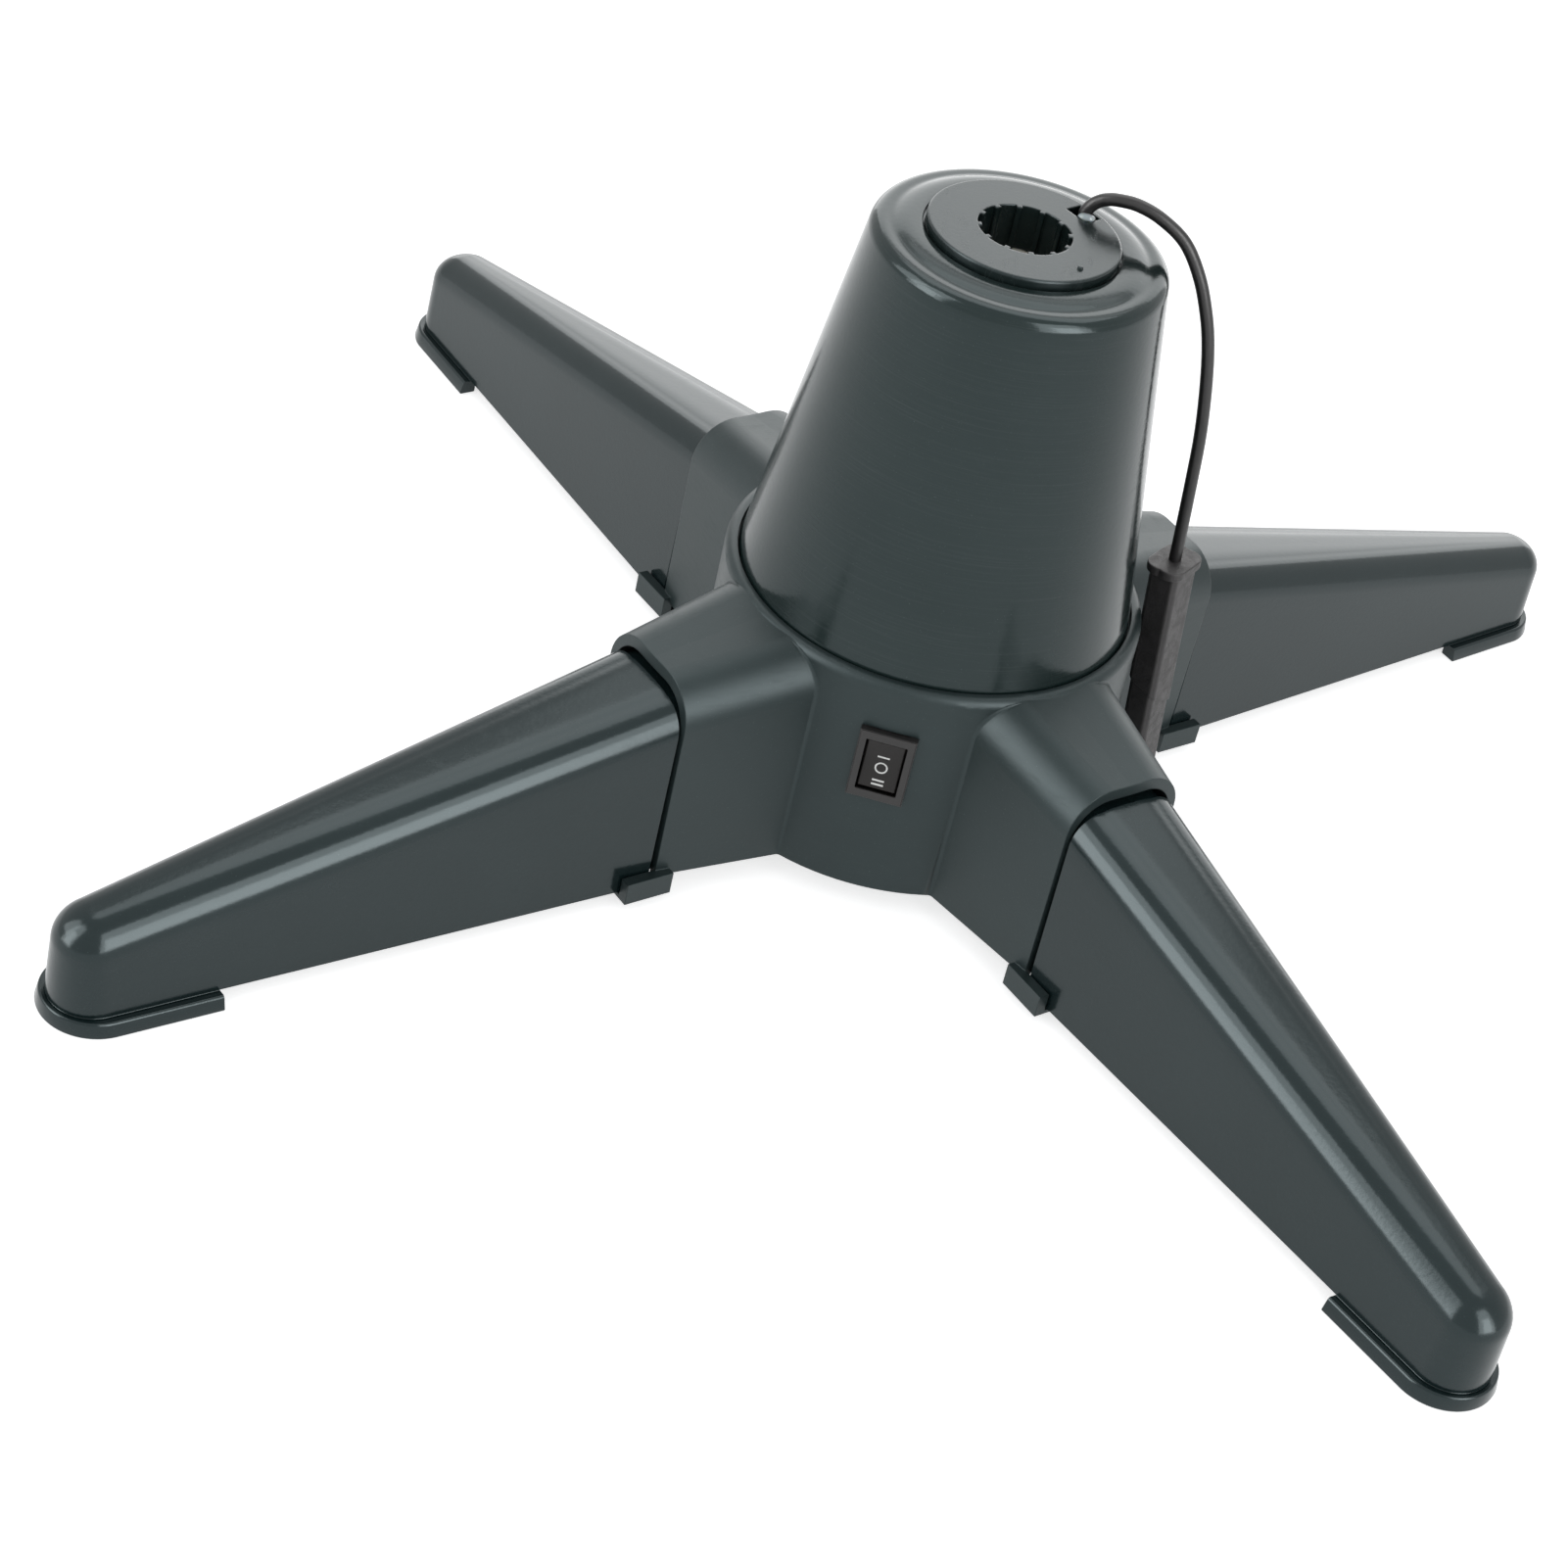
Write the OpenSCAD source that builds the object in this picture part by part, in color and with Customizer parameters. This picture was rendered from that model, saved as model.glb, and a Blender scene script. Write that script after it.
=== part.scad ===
// Rotating tree stand: four pull-out legs, round hub, cone housing, motor-driven splined pole socket.
// Millimetres, +Z up, origin on the floor under the middle of the turntable, switch facing -Y.

/* [Overall] */
// Distance from the middle to the outermost edge of a foot
foot_reach = 250; // [235:1:300]
// Height of the hub's bottom edge over the floor
hub_bottom = 7.5; // [6.5:0.5:10]
// Play between pieces that are put together and stay together
fit_gap = 0.3; // [0.2:0.05:0.4]
// Radial play of a turning shaft or neck
run_gap = 0.1; // [0.05:0.01:0.15]

/* [Hub] */
// Outer radius of the hub wall
hub_r = 56.5; // [55:0.5:60]
// Height of the hub's top rim
hub_top = 72; // [70:1:80]
// Thickness of the hub wall
hub_wall = 3.2; // [2.8:0.1:3.6]
// Radius of the hub's rounded top edge
hub_shoulder = 2.4; // [1:0.1:2.6]
// How far the cone housing sinks into the hub's rim
seat_depth = 2.2; // [1.5:0.1:3]
// Width of the ledge that carries the cone housing
ledge_w = 10.3; // [9:0.1:13]
// Thickness of that ledge
ledge_t = 2.6; // [2:0.1:3.5]

/* [Arms] */
// Length of an arm past the hub wall
arm_run = 31.5; // [28:0.5:38]
// Half width of the arm at its mouth
arm_mouth_half = 17.9; // [17:0.1:19]
// Half width of the arm where it meets the hub wall
arm_root_half = 21.8; // [20:0.1:23]
// Height of the arm's top at its mouth
arm_mouth_top = 66.3; // [64:0.1:68]
// Height of the arm's top where it meets the hub wall
arm_root_top = 71.4; // [69:0.1:71.8]
// Radius of the arm's long top edges
arm_corner = 12; // [8:0.5:13]
// Thickness of the arm's side walls
arm_side_wall = 2.2; // [1.8:0.1:2.6]
// Thickness of the arm's top wall
arm_top_wall = 3.3; // [2.6:0.1:3.8]

/* [Leg clips] */
// Length of the clip past the arm's mouth
clip_out = 10; // [8:0.5:14]
// Length of the clip along the arm
clip_in = 4; // [3:0.5:8]
// Thickness of the clip's side
clip_t = 3; // [2:0.1:3.6]
// Height of the clip's lower face over the floor
clip_bottom = 2.8; // [1.5:0.1:3.2]
// Height of the clip's top edge over the floor
clip_top = 9.3; // [8.8:0.1:14]

/* [Legs] */
// Height of the foot's rim, where the leg's lower edge runs
rim_h = 4.3; // [4:0.1:6]
// Length of the rim from the tip inwards
rim_length = 41; // [30:1:60]
// How far the rim stands out past the leg's wall at the tip
rim_out = 3.2; // [2:0.1:4]
// Step from the arm's side in to the leg's side
leg_side_step = 0.6; // [0.3:0.1:1]
// Drop from the arm's top to the leg's top at the mouth
leg_top_drop = 6.1; // [5:0.1:8]
// Half width of the leg's rounded tip at its lower edge
tip_half = 11; // [9:0.1:13]
// Half width of the leg's tip at its top
tip_top_half = 8.8; // [7:0.1:10]
// How far the top of the tip reaches out past the middle of its round foot
tip_top_shift = 0.9; // [0:0.1:2]
// Height of the leg's top at the tip
tip_top = 29.3; // [24:0.1:36]
// Radius of the leg's top edges at the arm
leg_root_corner = 8.5; // [6:0.5:10]
// Radius of the leg's top edges at the tip
leg_tip_corner = 5.8; // [4:0.1:6.5]
// Wall thickness of the leg
leg_wall = 2; // [1.6:0.1:2.6]
// How far the seam between arm and leg opens towards the bottom
seam_open = 0.9; // [0:0.1:1.5]
// Length of the leg's tongue inside the arm
tongue_length = 26; // [20:1:28]

/* [Cone housing] */
// Outer radius of the cone at its top edge
cone_top_r = 37.9; // [36:0.1:42]
// Height of the cone's top edge
cone_edge = 171.5; // [160:0.1:180]
// Wall thickness of the cone
cone_wall = 2.5; // [2:0.1:3]
// Radius of the cone's rounded top edge
cone_shoulder = 2.6; // [1:0.1:3.5]
// Radius of the raised middle of the cone's top
crown_r = 32.4; // [31:0.1:34]
// Height of that raised middle over the cone's edge
crown_h = 1.3; // [0.8:0.1:2]

/* [Turntable] */
// Radius of the turning disc
disc_r = 24.7; // [24.2:0.1:28]
// Thickness of the turning disc
disc_t = 3.1; // [2.5:0.1:4]
// Radius of the socket's mouth between its lugs
mouth_r = 12.1; // [12:0.1:12.6]
// Number of lugs round the mouth
lug_count = 12; // [6:1:16]
// Height of a lug, towards the middle
lug_h = 1; // [0.6:0.1:1.2]
// Width of a lug
lug_w = 1.4; // [1:0.1:2]
// Depth of the splined mouth
mouth_depth = 12; // [8:1:15]
// Radius of the neck that turns in the top bush
neck_r = 23.2; // [23:0.1:23.5]
// Thickness of the neck's wall
neck_wall = 1.2; // [1:0.1:1.4]
// Length of the neck
neck_length = 13; // [10:1:16]

/* [Pole tube] */
// Radius of the smooth socket that takes the pole
pole_r = 11.1; // [10.9:0.05:11.3]
// Wall thickness of the pole tube
tube_wall = 2.8; // [2.5:0.1:2.9]
// Height of the socket's floor, where the pole stops
pole_stop = 41; // [38:1:44]
// Thickness of the socket's floor
tube_floor = 3; // [2:0.5:4]
// Radius of the pivot under the tube
pivot_r = 6; // [4:0.5:7]
// Length of the pivot
pivot_length = 15; // [10:1:16]

/* [Gears] */
// Module of the gears
gear_module = 1; // [1:0.05:1.05]
// Teeth of the gear on the pole tube
gear_teeth = 52; // [50:1:54]
// Teeth of the motor's pinion
pinion_teeth = 14; // [13:1:16]
// Play between the teeth at the pitch circle
backlash = 0.16; // [0.12:0.02:0.3]
// Width of the large gear's teeth
gear_face = 6; // [4:0.5:7]
// Width of the pinion's teeth
pinion_face = 8; // [8:0.5:9]

/* [Motor] */
// Space between the motor's can and the hub wall
motor_play = 2.8; // [2:0.1:5]
// Length of the motor's can
motor_length = 16; // [12:1:17]
// Radius of the motor's shaft
shaft_r = 2; // [1.5:0.1:2.5]

/* [Slip rings] */
// Number of slip rings
ring_count = 2; // [1:1:3]
// Width of a slip ring
ring_w = 5.4; // [4:0.1:6]
// Radial thickness of a slip ring
ring_t = 2; // [1:0.1:2.4]
// Thickness of the walls between the rings
drum_wall = 2.3; // [1.5:0.1:3]
// Height of the drum's lower face
drum_z = 90; // [84:1:96]

/* [Switch] */
// Width of the switch's bezel
bezel_w = 15; // [14.5:0.1:16]
// Height of the switch's bezel
bezel_h = 21; // [20.5:0.1:22]
// Thickness of the switch's bezel
bezel_t = 2; // [1.5:0.1:2.4]
// Height of the switch's middle over the floor
switch_z = 47.6; // [44:0.1:52]
// Width of the rocker
rocker_w = 10.6; // [9:0.1:11]
// Height of the rocker's opening in the bezel
rocker_opening = 15.8; // [15:0.1:16]

/* [Mains inlet] */
// Radius of the hole for the mains lead in its gland
mains_lead_r = 3.4; // [2.5:0.1:4]
// Height of the gland's middle over the floor
gland_z = 20; // [18:1:30]

/* [Lead and in-line socket] */
// Diameter of the lead
lead_d = 3.4; // [3:0.1:3.6]
// Width of the in-line socket's grip
socket_w = 10; // [9:0.1:10.6]
// Depth of the in-line socket's grip
socket_d = 15; // [13:0.1:17]
// Width of the chamfers on the grip's four edges
socket_chamfer = 2.8; // [1.5:0.1:3.6]
// How far the two-lobed flange stands out past the grip
socket_lip = 0.6; // [0.3:0.1:1]
// Length of the in-line socket
socket_length = 70; // [60:1:74]
// Angle at which the in-line socket leans out from the vertical
socket_lean = 9; // [4:1:12]

/* [Hidden] */
$fn = 64;

// Overrun of every cut past the face that it opens
over = 1;
// Thickness of the slices that a skin is stretched over
slice = 0.1;
// Facets of the round ends of a stretched skin
skin_fn = 32;

// Leg angles about +Z: front left, front right, rear right, rear left
leg_angles = [225, 315, 45, 135];

green = "#1f2f2c";
dark_green = "#1a2926";
black = "#1b1a1c";
steel = "#b9bdc0";
brass = "#c59b45";
nylon = "#e9e6da";

// Hub
hub_inner_r = hub_r - hub_wall;
cone_base_r = hub_inner_r - 2 * fit_gap;
ledge_r = hub_inner_r - ledge_w;
ledge_top = hub_top - seat_depth;
ledge_bottom = ledge_top - ledge_t;
cover_t = 2.5;
cover_top = hub_bottom + cover_t;

// Arms: yaw and pitch of a side's long edge
arm_reach = hub_r + arm_run;
arm_yaw = atan((arm_root_half - arm_mouth_half) / arm_run);
arm_pitch = atan((arm_root_top - arm_mouth_top) / arm_run);
arm_extra = (arm_mouth_top - hub_bottom) * tan(arm_pitch) + arm_mouth_half * tan(arm_yaw) + 2 * over;

// Legs
leg_bottom = rim_h;
leg_start = arm_reach + fit_gap;
leg_root_half = arm_mouth_half - leg_side_step;
leg_root_top = arm_mouth_top - leg_top_drop;
leg_root_top_half = leg_root_half - 0.7 * leg_side_step;
tip_u = foot_reach - rim_out - tip_half;
tongue_half = arm_mouth_half - arm_side_wall - fit_gap;
tongue_top = leg_root_top - 0.2 * leg_wall;
tongue_bottom = hub_bottom + fit_gap;
tongue_corner = leg_root_corner - leg_wall / 2;
tongue_rib_w = 1.6;
tongue_rib_at = 0.35 * tongue_half;

// Screws: head radius, head height, shank radius
screw_head_r = 2.7;
screw_head_h = 1.8;
screw_shank_r = 1.4;
screw_play = 0.05;

// Bottom cover columns, on a circle inside the hub wall
column_r = 4;
column_at = hub_inner_r - column_r + 0.4 * hub_wall;
column_angles = [30, 150, 210, 330];
cover_screw_length = 12;

// Cone housing
cone_seat = ledge_top;
cone_slope = (cone_base_r - cone_top_r) / (cone_edge - hub_top);
cone_foot_r = cone_base_r + seat_depth * cone_slope;
crown_top = cone_edge + crown_h;
function cone_outer(z) = cone_base_r - (z - hub_top) * cone_slope;
function cone_inner(z) = cone_outer(z) - cone_wall;
cone_boss_r = 3.6;
cone_boss_h = 14;
cone_boss_at = cone_inner(ledge_top + cone_boss_h) - cone_boss_r / 2;
cone_boss_angles = [60, 120, 240, 300];
cone_screw_length = 12;

// Turntable: heights
disc_bottom = crown_top + fit_gap;
disc_top = disc_bottom + disc_t;
mouth_bottom = disc_top - mouth_depth;
bush_wall = 2.2;
collar_wall = 2.4;
bush_inner_r = neck_r + run_gap;
bush_outer_r = bush_inner_r + bush_wall;
collar_inner_r = bush_outer_r + screw_play;
neck_bottom = disc_bottom - neck_length;
bush_top = crown_top - cone_wall - fit_gap;
tube_r = pole_r + tube_wall;
cap_boss_wall = 2.2;
cap_boss_r = tube_r + screw_play + cap_boss_wall;
cap_boss_length = 26;
cap_boss_bottom = disc_bottom - cap_boss_length;
cap_screw_rise = 5;
cap_screw_z = cap_boss_bottom + cap_screw_rise;
cap_screw_angles = [135, 315];
cap_screw_depth = cap_boss_wall + tube_wall / 2;
cap_screw_head_h = 1.4;
nub_r = 0.7;
nub_h = 0.5;
nub_at = [15.6, -12.4];

// Middle line of the free lead, from the stub over the edge and down to the socket
lead_route = [
  [13.2, 16.4, 176.9], [13.6, 16.4, 178.4], [14.5, 16.4, 180.1], [16, 16.5, 181.6], [18, 16.5, 182.7],
  [21, 16.5, 183.3], [26, 16.5, 183.2], [32, 16, 181.2], [39, 15.5, 176.6], [44.8, 15, 169.6],
  [49.4, 14.5, 160], [52.5, 14.2, 151], [55, 14, 139], [57, 13.8, 125], [58, 13.5, 110],
  [59.1, 13, 94], [60.2, 13, 87]
];
lead_sides = 8;
lead_ring_gap_shares = 2.3;
lead_extra_rings = 8;

// Lead hole in the disc
lead_r = lead_d / 2;
lead_at = [lead_route[0][0], lead_route[0][1]];
slot_turn = atan2(lead_at[1], lead_at[0]);
slot_w = 5;
slot_length = 7.4;
slot_rim = 1.7;
slot_out = disc_r - slot_rim;
stub_rise = 0.7;

// Pole tube and its bush
tube_bottom = pole_stop - tube_floor;
pivot_bottom = tube_bottom - pivot_length;
thrust_t = 1.8;
thrust_top = tube_bottom - fit_gap;
thrust_bottom = thrust_top - thrust_t;
lower_bush_wall = 2;
lower_bush_r = pivot_r + run_gap + lower_bush_wall;
thrust_r = tube_r - fit_gap;
cover_boss_wall = 2.6;
cover_boss_r = lower_bush_r + screw_play + cover_boss_wall;

// Gears
gear_pitch_r = gear_module * gear_teeth / 2;
pinion_pitch_r = gear_module * pinion_teeth / 2;
motor_at = gear_pitch_r + pinion_pitch_r;
motor_r = hub_inner_r - motor_at - motor_play;
gear_hub_wall = 3;
gear_hub_h = 6;
gear_rise = 7;
gear_z = tube_bottom + gear_rise;
pinion_z = gear_z - (pinion_face - gear_face) / 2;
pressure_angle = 20;
flank_steps = 4;

// Motor: can, nose, ears
motor_drop = 12;
motor_top = gear_z - motor_drop;
motor_bottom = motor_top - motor_length;
motor_nose_r = 5;
motor_nose_h = 5;
motor_lid_t = 1.2;
ear_out = 4;
ear_reach = motor_r + ear_out;
ear_r = 3.6;
post_r = 3.4;
motor_screw_length = 8;
shaft_over = 1;
shaft_top = pinion_z + pinion_face + shaft_over;
shaft_in_motor = 5;

// Slip rings and brushes
drum_step = ring_w + drum_wall;
drum_top = drum_z + ring_count * drum_step + drum_wall;
ring_r = norm(lead_at) + lead_r - fit_gap;
ring_inner_r = ring_r - ring_t;
drum_lip = 1.2;
drum_flange_r = ring_r + drum_lip;
brush_w = 3.2;
brush_reach = 9;
brush_block_gap = 3;
brush_block_w = 16;
brush_block_in = drum_flange_r + brush_block_gap;
brush_rib_w = 10;
brush_rib_t = 2.6;
brush_block_out = cone_inner(drum_top) - brush_rib_t;

// Switch: the flat in the hub wall, the body and the rocker
panel_front = sqrt(hub_r * hub_r - (bezel_w / 2 + fit_gap) * (bezel_w / 2 + fit_gap));
bezel_front = panel_front + bezel_t;
bezel_lip = 0.9;
switch_body_w = bezel_w - 2 * bezel_lip;
switch_body_h = bezel_h - 2 * bezel_lip;
switch_body_depth = 13;
rocker_pivot_depth = 4.5;
rocker_pivot_y = bezel_front - rocker_pivot_depth;
rocker_sweep_r = norm([rocker_opening / 2, rocker_pivot_depth]);
rocker_r = rocker_sweep_r - fit_gap;
rocker_face = 3.7;
rocker_back = -2;
rocker_hollow_r = 40;
rocker_hollow_depth = 0.6;
rocker_pin_r = 0.9;
rocker_pin_length = 0.6;
terminal_w = 4.8;
terminal_t = 0.8;
terminal_length = 5;
terminal_pitch = 5.6;

// Mains gland
gland_wall = 2.6;
gland_lip = 1.8;
gland_nose_wall = 1.4;
gland_collar_r = mains_lead_r + gland_wall;
gland_flange_r = gland_collar_r + gland_lip;
gland_flange_t = 2;
gland_outside = 9;
gland_nose_r = mains_lead_r + gland_nose_wall;
gland_nut_t = 3;

// In-line socket: lengths along its axis from the flange down
socket_top = lead_route[len(lead_route) - 1];
socket_turn = 15;
flange_t = 2.5;
lobe_r = socket_w / 2 - 1.5 * socket_lip;
grip_length = 0.6 * socket_length;
collar_length = 0.18 * socket_length;
collar_out = 0.9;
nose_in = 1.1;
contact_r = 0.9;
contact_at = 2.6;
contact_length = 8;

// Unit vector
function unit(v) = v / norm(v);
function polar(r, a) = [r * cos(a), r * sin(a)];

// Corner rounding: the middle of a circle of radius r that touches both edges at p, towards a and b
function corner_half(p, a, b) = acos(unit(a - p) * unit(b - p)) / 2;
function corner_middle(p, a, b, r) =
  p + unit(unit(a - p) + unit(b - p)) * r / sin(corner_half(p, a, b));
function corner_touch(p, a, b, r) = p + unit(a - p) * r / tan(corner_half(p, a, b));

// A flat outline whose corners listed in rounded, as [index, radius], are true arcs
module rounded_outline(points, rounded) {
  n = len(points);
  difference() {
    polygon(points);
    for (c = rounded) {
      p = points[c[0]];
      a = points[(c[0] + n - 1) % n];
      b = points[(c[0] + 1) % n];
      polygon([p, corner_touch(p, a, b, c[1]), corner_touch(p, b, a, c[1])]);
    }
  }
  for (c = rounded) {
    p = points[c[0]];
    a = points[(c[0] + n - 1) % n];
    b = points[(c[0] + 1) % n];
    translate(corner_middle(p, a, b, c[1])) circle(c[1]);
  }
}

module ring(outer, inner, height) {
  difference() {
    cylinder(r = outer, h = height);
    translate([0, 0, -over]) cylinder(r = inner, h = height + 2 * over);
  }
}

module box(low, high) {
  translate(low) cube(high - low);
}

// A screw along +Z: its head's top at the origin, the shank below it
module screw(length, shank = screw_shank_r, head = screw_head_r, head_h = screw_head_h) {
  slot = 0.6 * shank;
  difference() {
    translate([0, 0, -head_h]) cylinder(r = head, h = head_h);
    for (a = [0, 90]) {
      rotate([0, 0, a]) box([-0.7 * head, -slot / 2, -0.5 * head_h], [0.7 * head, slot / 2, over]);
    }
  }
  translate([0, 0, -head_h - length]) cylinder(r = shank, h = length);
}

// One long side of an arm: everything under the top and inside the side wall, with a round edge
module arm_side(half, top, corner, bottom) {
  reach = arm_reach + over;
  low = top - bottom + arm_extra + over;
  wide = half + arm_reach * tan(arm_yaw) + over;
  intersection() {
    box([0, 0, bottom], [reach, wide + arm_extra, hub_top - slice]);
    translate([arm_reach, half, top]) rotate([0, arm_pitch, -arm_yaw])
      translate([-arm_reach, 0, 0]) rotate([90, 0, 90]) linear_extrude(arm_reach + arm_extra) {
        translate([-wide, -low]) square([wide, low - corner]);
        translate([-wide, -low]) square([wide - corner, low]);
        translate([-corner, -corner]) circle(corner);
      }
  }
}

// Both sides of an arm
module arm_block(half, top, corner, bottom) {
  arm_side(half, top, corner, bottom);
  mirror([0, 1, 0]) arm_side(half, top, corner, bottom);
}

module arm_shell() {
  difference() {
    arm_block(arm_mouth_half, arm_mouth_top, arm_corner, hub_bottom);
    arm_block(arm_mouth_half - arm_side_wall, arm_mouth_top - arm_top_wall,
              arm_corner - arm_side_wall, hub_bottom - over);
    box([arm_reach, -arm_reach, -over], [arm_reach + 2 * over, arm_reach, hub_top]);
  }
}

// The clip that cups the leg's lower edge, on one side of the mouth
module leg_clip() {
  inner = leg_root_half + fit_gap;
  ledge_in = inner - 2 * leg_wall;
  u0 = arm_reach - clip_in;
  u1 = arm_reach + clip_out;
  box([u0, inner, clip_bottom], [u1, inner + clip_t, clip_top]);
  box([u0, ledge_in, clip_bottom], [u1, inner + over, leg_bottom - fit_gap]);
}

module hub_housing() {
  color(green) {
    difference() {
      union() {
        for (a = leg_angles) rotate([0, 0, a]) {
          arm_shell();
          leg_clip();
          mirror([0, 1, 0]) leg_clip();
        }
        rotate_extrude() rounded_outline(
          [[0, hub_bottom], [hub_r, hub_bottom], [hub_r, hub_top], [0, hub_top]], [[2, hub_shoulder]]);
      }
      translate([0, 0, -over]) cylinder(r = hub_inner_r, h = hub_top + 2 * over);
      switch_cutout();
      gland_hole();
    }
    difference() {
      union() {
        translate([0, 0, ledge_bottom]) ring(hub_inner_r + hub_wall / 2, ledge_r, ledge_t);
        difference() {
          for (a = column_angles) rotate([0, 0, a]) translate([column_at, 0, cover_top])
            cylinder(r = column_r, h = ledge_top - cover_top);
          ring(hub_r + 2 * column_r, hub_inner_r + hub_wall / 2, hub_top);
        }
      }
      for (a = column_angles) rotate([0, 0, a]) translate([column_at, 0, 0])
        cylinder(r = screw_shank_r + screw_play, h = cover_top + cover_screw_length);
      for (a = cone_boss_angles) rotate([0, 0, a]) translate([cone_boss_at, 0, 0])
        cylinder(r = screw_shank_r + screw_play, h = hub_top);
    }
  }
}

// The flat that the bezel lies on and the hole behind it
module switch_cutout() {
  flat_w = bezel_w / 2 + fit_gap;
  flat_h = bezel_h / 2 + fit_gap;
  w = switch_body_w / 2 + fit_gap;
  h = switch_body_h / 2 + fit_gap;
  box([-flat_w, -hub_r - over, switch_z - flat_h], [flat_w, -panel_front, switch_z + flat_h]);
  box([-w, -hub_r, switch_z - h], [w, -hub_inner_r + over, switch_z + h]);
}

module gland_hole() {
  translate([0, hub_inner_r - hub_wall, gland_z]) rotate([-90, 0, 0])
    cylinder(r = gland_collar_r + screw_play, h = 3 * hub_wall);
}

module bottom_cover() {
  color(dark_green) difference() {
    union() {
      translate([0, 0, hub_bottom]) cylinder(r = hub_inner_r - fit_gap, h = cover_t);
      translate([0, 0, hub_bottom]) cylinder(r = cover_boss_r, h = thrust_bottom - hub_bottom);
      for (a = [45:90:315]) rotate([0, 0, a])
        box([0, -cover_t / 2, hub_bottom], [2 * cover_boss_r, cover_t / 2, thrust_bottom - cover_boss_r]);
      for (s = [-1, 1]) translate([-motor_at, s * ear_reach, hub_bottom])
        cylinder(r = post_r, h = motor_top - hub_bottom);
    }
    translate([0, 0, pivot_bottom - fit_gap]) cylinder(r = lower_bush_r + screw_play, h = hub_top);
    for (a = column_angles) rotate([0, 0, a]) translate([column_at, 0, 0]) {
      cylinder(r = screw_shank_r + screw_play, h = cover_top + over);
      cylinder(r = screw_head_r + screw_play, h = hub_bottom + screw_head_h);
    }
    for (s = [-1, 1]) translate([-motor_at, s * ear_reach, motor_top - motor_screw_length])
      cylinder(r = screw_shank_r + screw_play, h = motor_screw_length + over);
  }
}

module bottom_cover_screws() {
  color(steel) for (a = column_angles) rotate([0, 0, a]) translate([column_at, 0, hub_bottom])
    mirror([0, 0, 1]) screw(cover_screw_length - screw_head_h);
}

module cone_housing() {
  outer = [[0, cone_seat], [cone_foot_r, cone_seat], [cone_top_r, cone_edge],
           [crown_r, cone_edge + crown_h / 3], [crown_r, crown_top], [0, crown_top]];
  inner_top = crown_top - cone_wall;
  inner = [[0, cone_seat - over], [cone_inner(cone_seat - over), cone_seat - over],
           [cone_inner(inner_top - crown_h), inner_top - crown_h],
           [crown_r - cone_wall, inner_top], [0, inner_top]];
  boss_top = cone_seat + cone_boss_h;
  color(green) {
    difference() {
      union() {
        difference() {
          rotate_extrude() rounded_outline(outer, [[2, cone_shoulder], [4, crown_h / 3]]);
          rotate_extrude() polygon(inner);
        }
        translate([0, 0, neck_bottom]) cylinder(r = collar_inner_r + collar_wall, h = inner_top - neck_bottom);
      }
      translate([0, 0, neck_bottom - over]) cylinder(r = collar_inner_r, h = bush_top - neck_bottom + over);
      translate([0, 0, neck_bottom]) cylinder(r = neck_r + fit_gap, h = crown_top);
    }
    difference() {
      for (a = cone_boss_angles) rotate([0, 0, a]) translate([cone_boss_at, 0, cone_seat])
        cylinder(r = cone_boss_r, h = cone_boss_h);
      difference() {
        translate([0, 0, cone_seat - over]) cylinder(r = hub_r, h = cone_boss_h + 2 * over);
        rotate_extrude() polygon([[0, cone_seat - 2 * over],
          [cone_inner(cone_seat - 2 * over) + cone_wall / 2, cone_seat - 2 * over],
          [cone_inner(boss_top + 2 * over) + cone_wall / 2, boss_top + 2 * over], [0, boss_top + 2 * over]]);
      }
      for (a = cone_boss_angles) rotate([0, 0, a]) translate([cone_boss_at, 0, 0])
        cylinder(r = screw_shank_r + screw_play, h = cone_seat + cone_screw_length);
    }
    box([-cone_inner(drum_top) - cone_wall / 2, -brush_rib_w / 2, drum_z],
        [-brush_block_out, brush_rib_w / 2, drum_top]);
  }
}

module cone_screws() {
  color(steel) for (a = cone_boss_angles) rotate([0, 0, a])
    translate([cone_boss_at, 0, ledge_bottom - screw_head_h])
      mirror([0, 0, 1]) screw(cone_screw_length + ledge_t - over);
}

// The leg's skin over the stretch from start to the tip, moved in by wall
module leg_skin(start, wall, bottom) {
  low = start + seam_open;
  root_r = leg_root_corner - wall / 2;
  tip_r = leg_tip_corner - wall / 2;
  share = (start - leg_start) / (tip_u - leg_start);
  half = leg_root_half + share * (tip_half - leg_root_half) - wall;
  top_half = leg_root_top_half + share * (tip_top_half - leg_root_top_half) - wall;
  top = leg_root_top + share * (tip_top - leg_root_top) - wall;
  hull() {
    for (s = [-1, 1]) {
      translate([start, s * (top_half - root_r), top - root_r]) rotate([0, 90, 0])
        cylinder(r = root_r, h = slice, $fn = skin_fn);
      box([low, s * half - slice / 2, bottom], [low + slice, s * half + slice / 2, bottom + slice]);
    }
    translate([tip_u, 0, bottom]) cylinder(r = tip_half - wall, h = slice, $fn = skin_fn);
    translate([tip_u + tip_top_shift, 0, tip_top - wall - tip_r]) rotate_extrude($fn = skin_fn)
      translate([tip_top_half - wall - tip_r, 0]) intersection() {
        circle(tip_r, $fn = skin_fn);
        translate([0, -tip_r]) square(2 * tip_r);
      }
  }
}

// The foot's rim, seen from above: round tip and straight sides
module rim_outline(grow) {
  r = tip_half + grow;
  end = foot_reach - rim_length;
  taper = (leg_root_half - tip_half) / (tip_u - leg_start);
  translate([tip_u, 0]) circle(r);
  polygon([[tip_u, r], [end, r + taper * (tip_u - end)], [end, -r - taper * (tip_u - end)], [tip_u, -r]]);
}

module tongue_outline(half, top, corner, bottom) {
  translate([-half, bottom]) square([2 * half, top - corner - bottom]);
  translate([corner - half, bottom]) square([2 * (half - corner), top - bottom]);
  for (s = [-1, 1]) translate([s * (half - corner), top - corner]) circle(corner);
}

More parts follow.
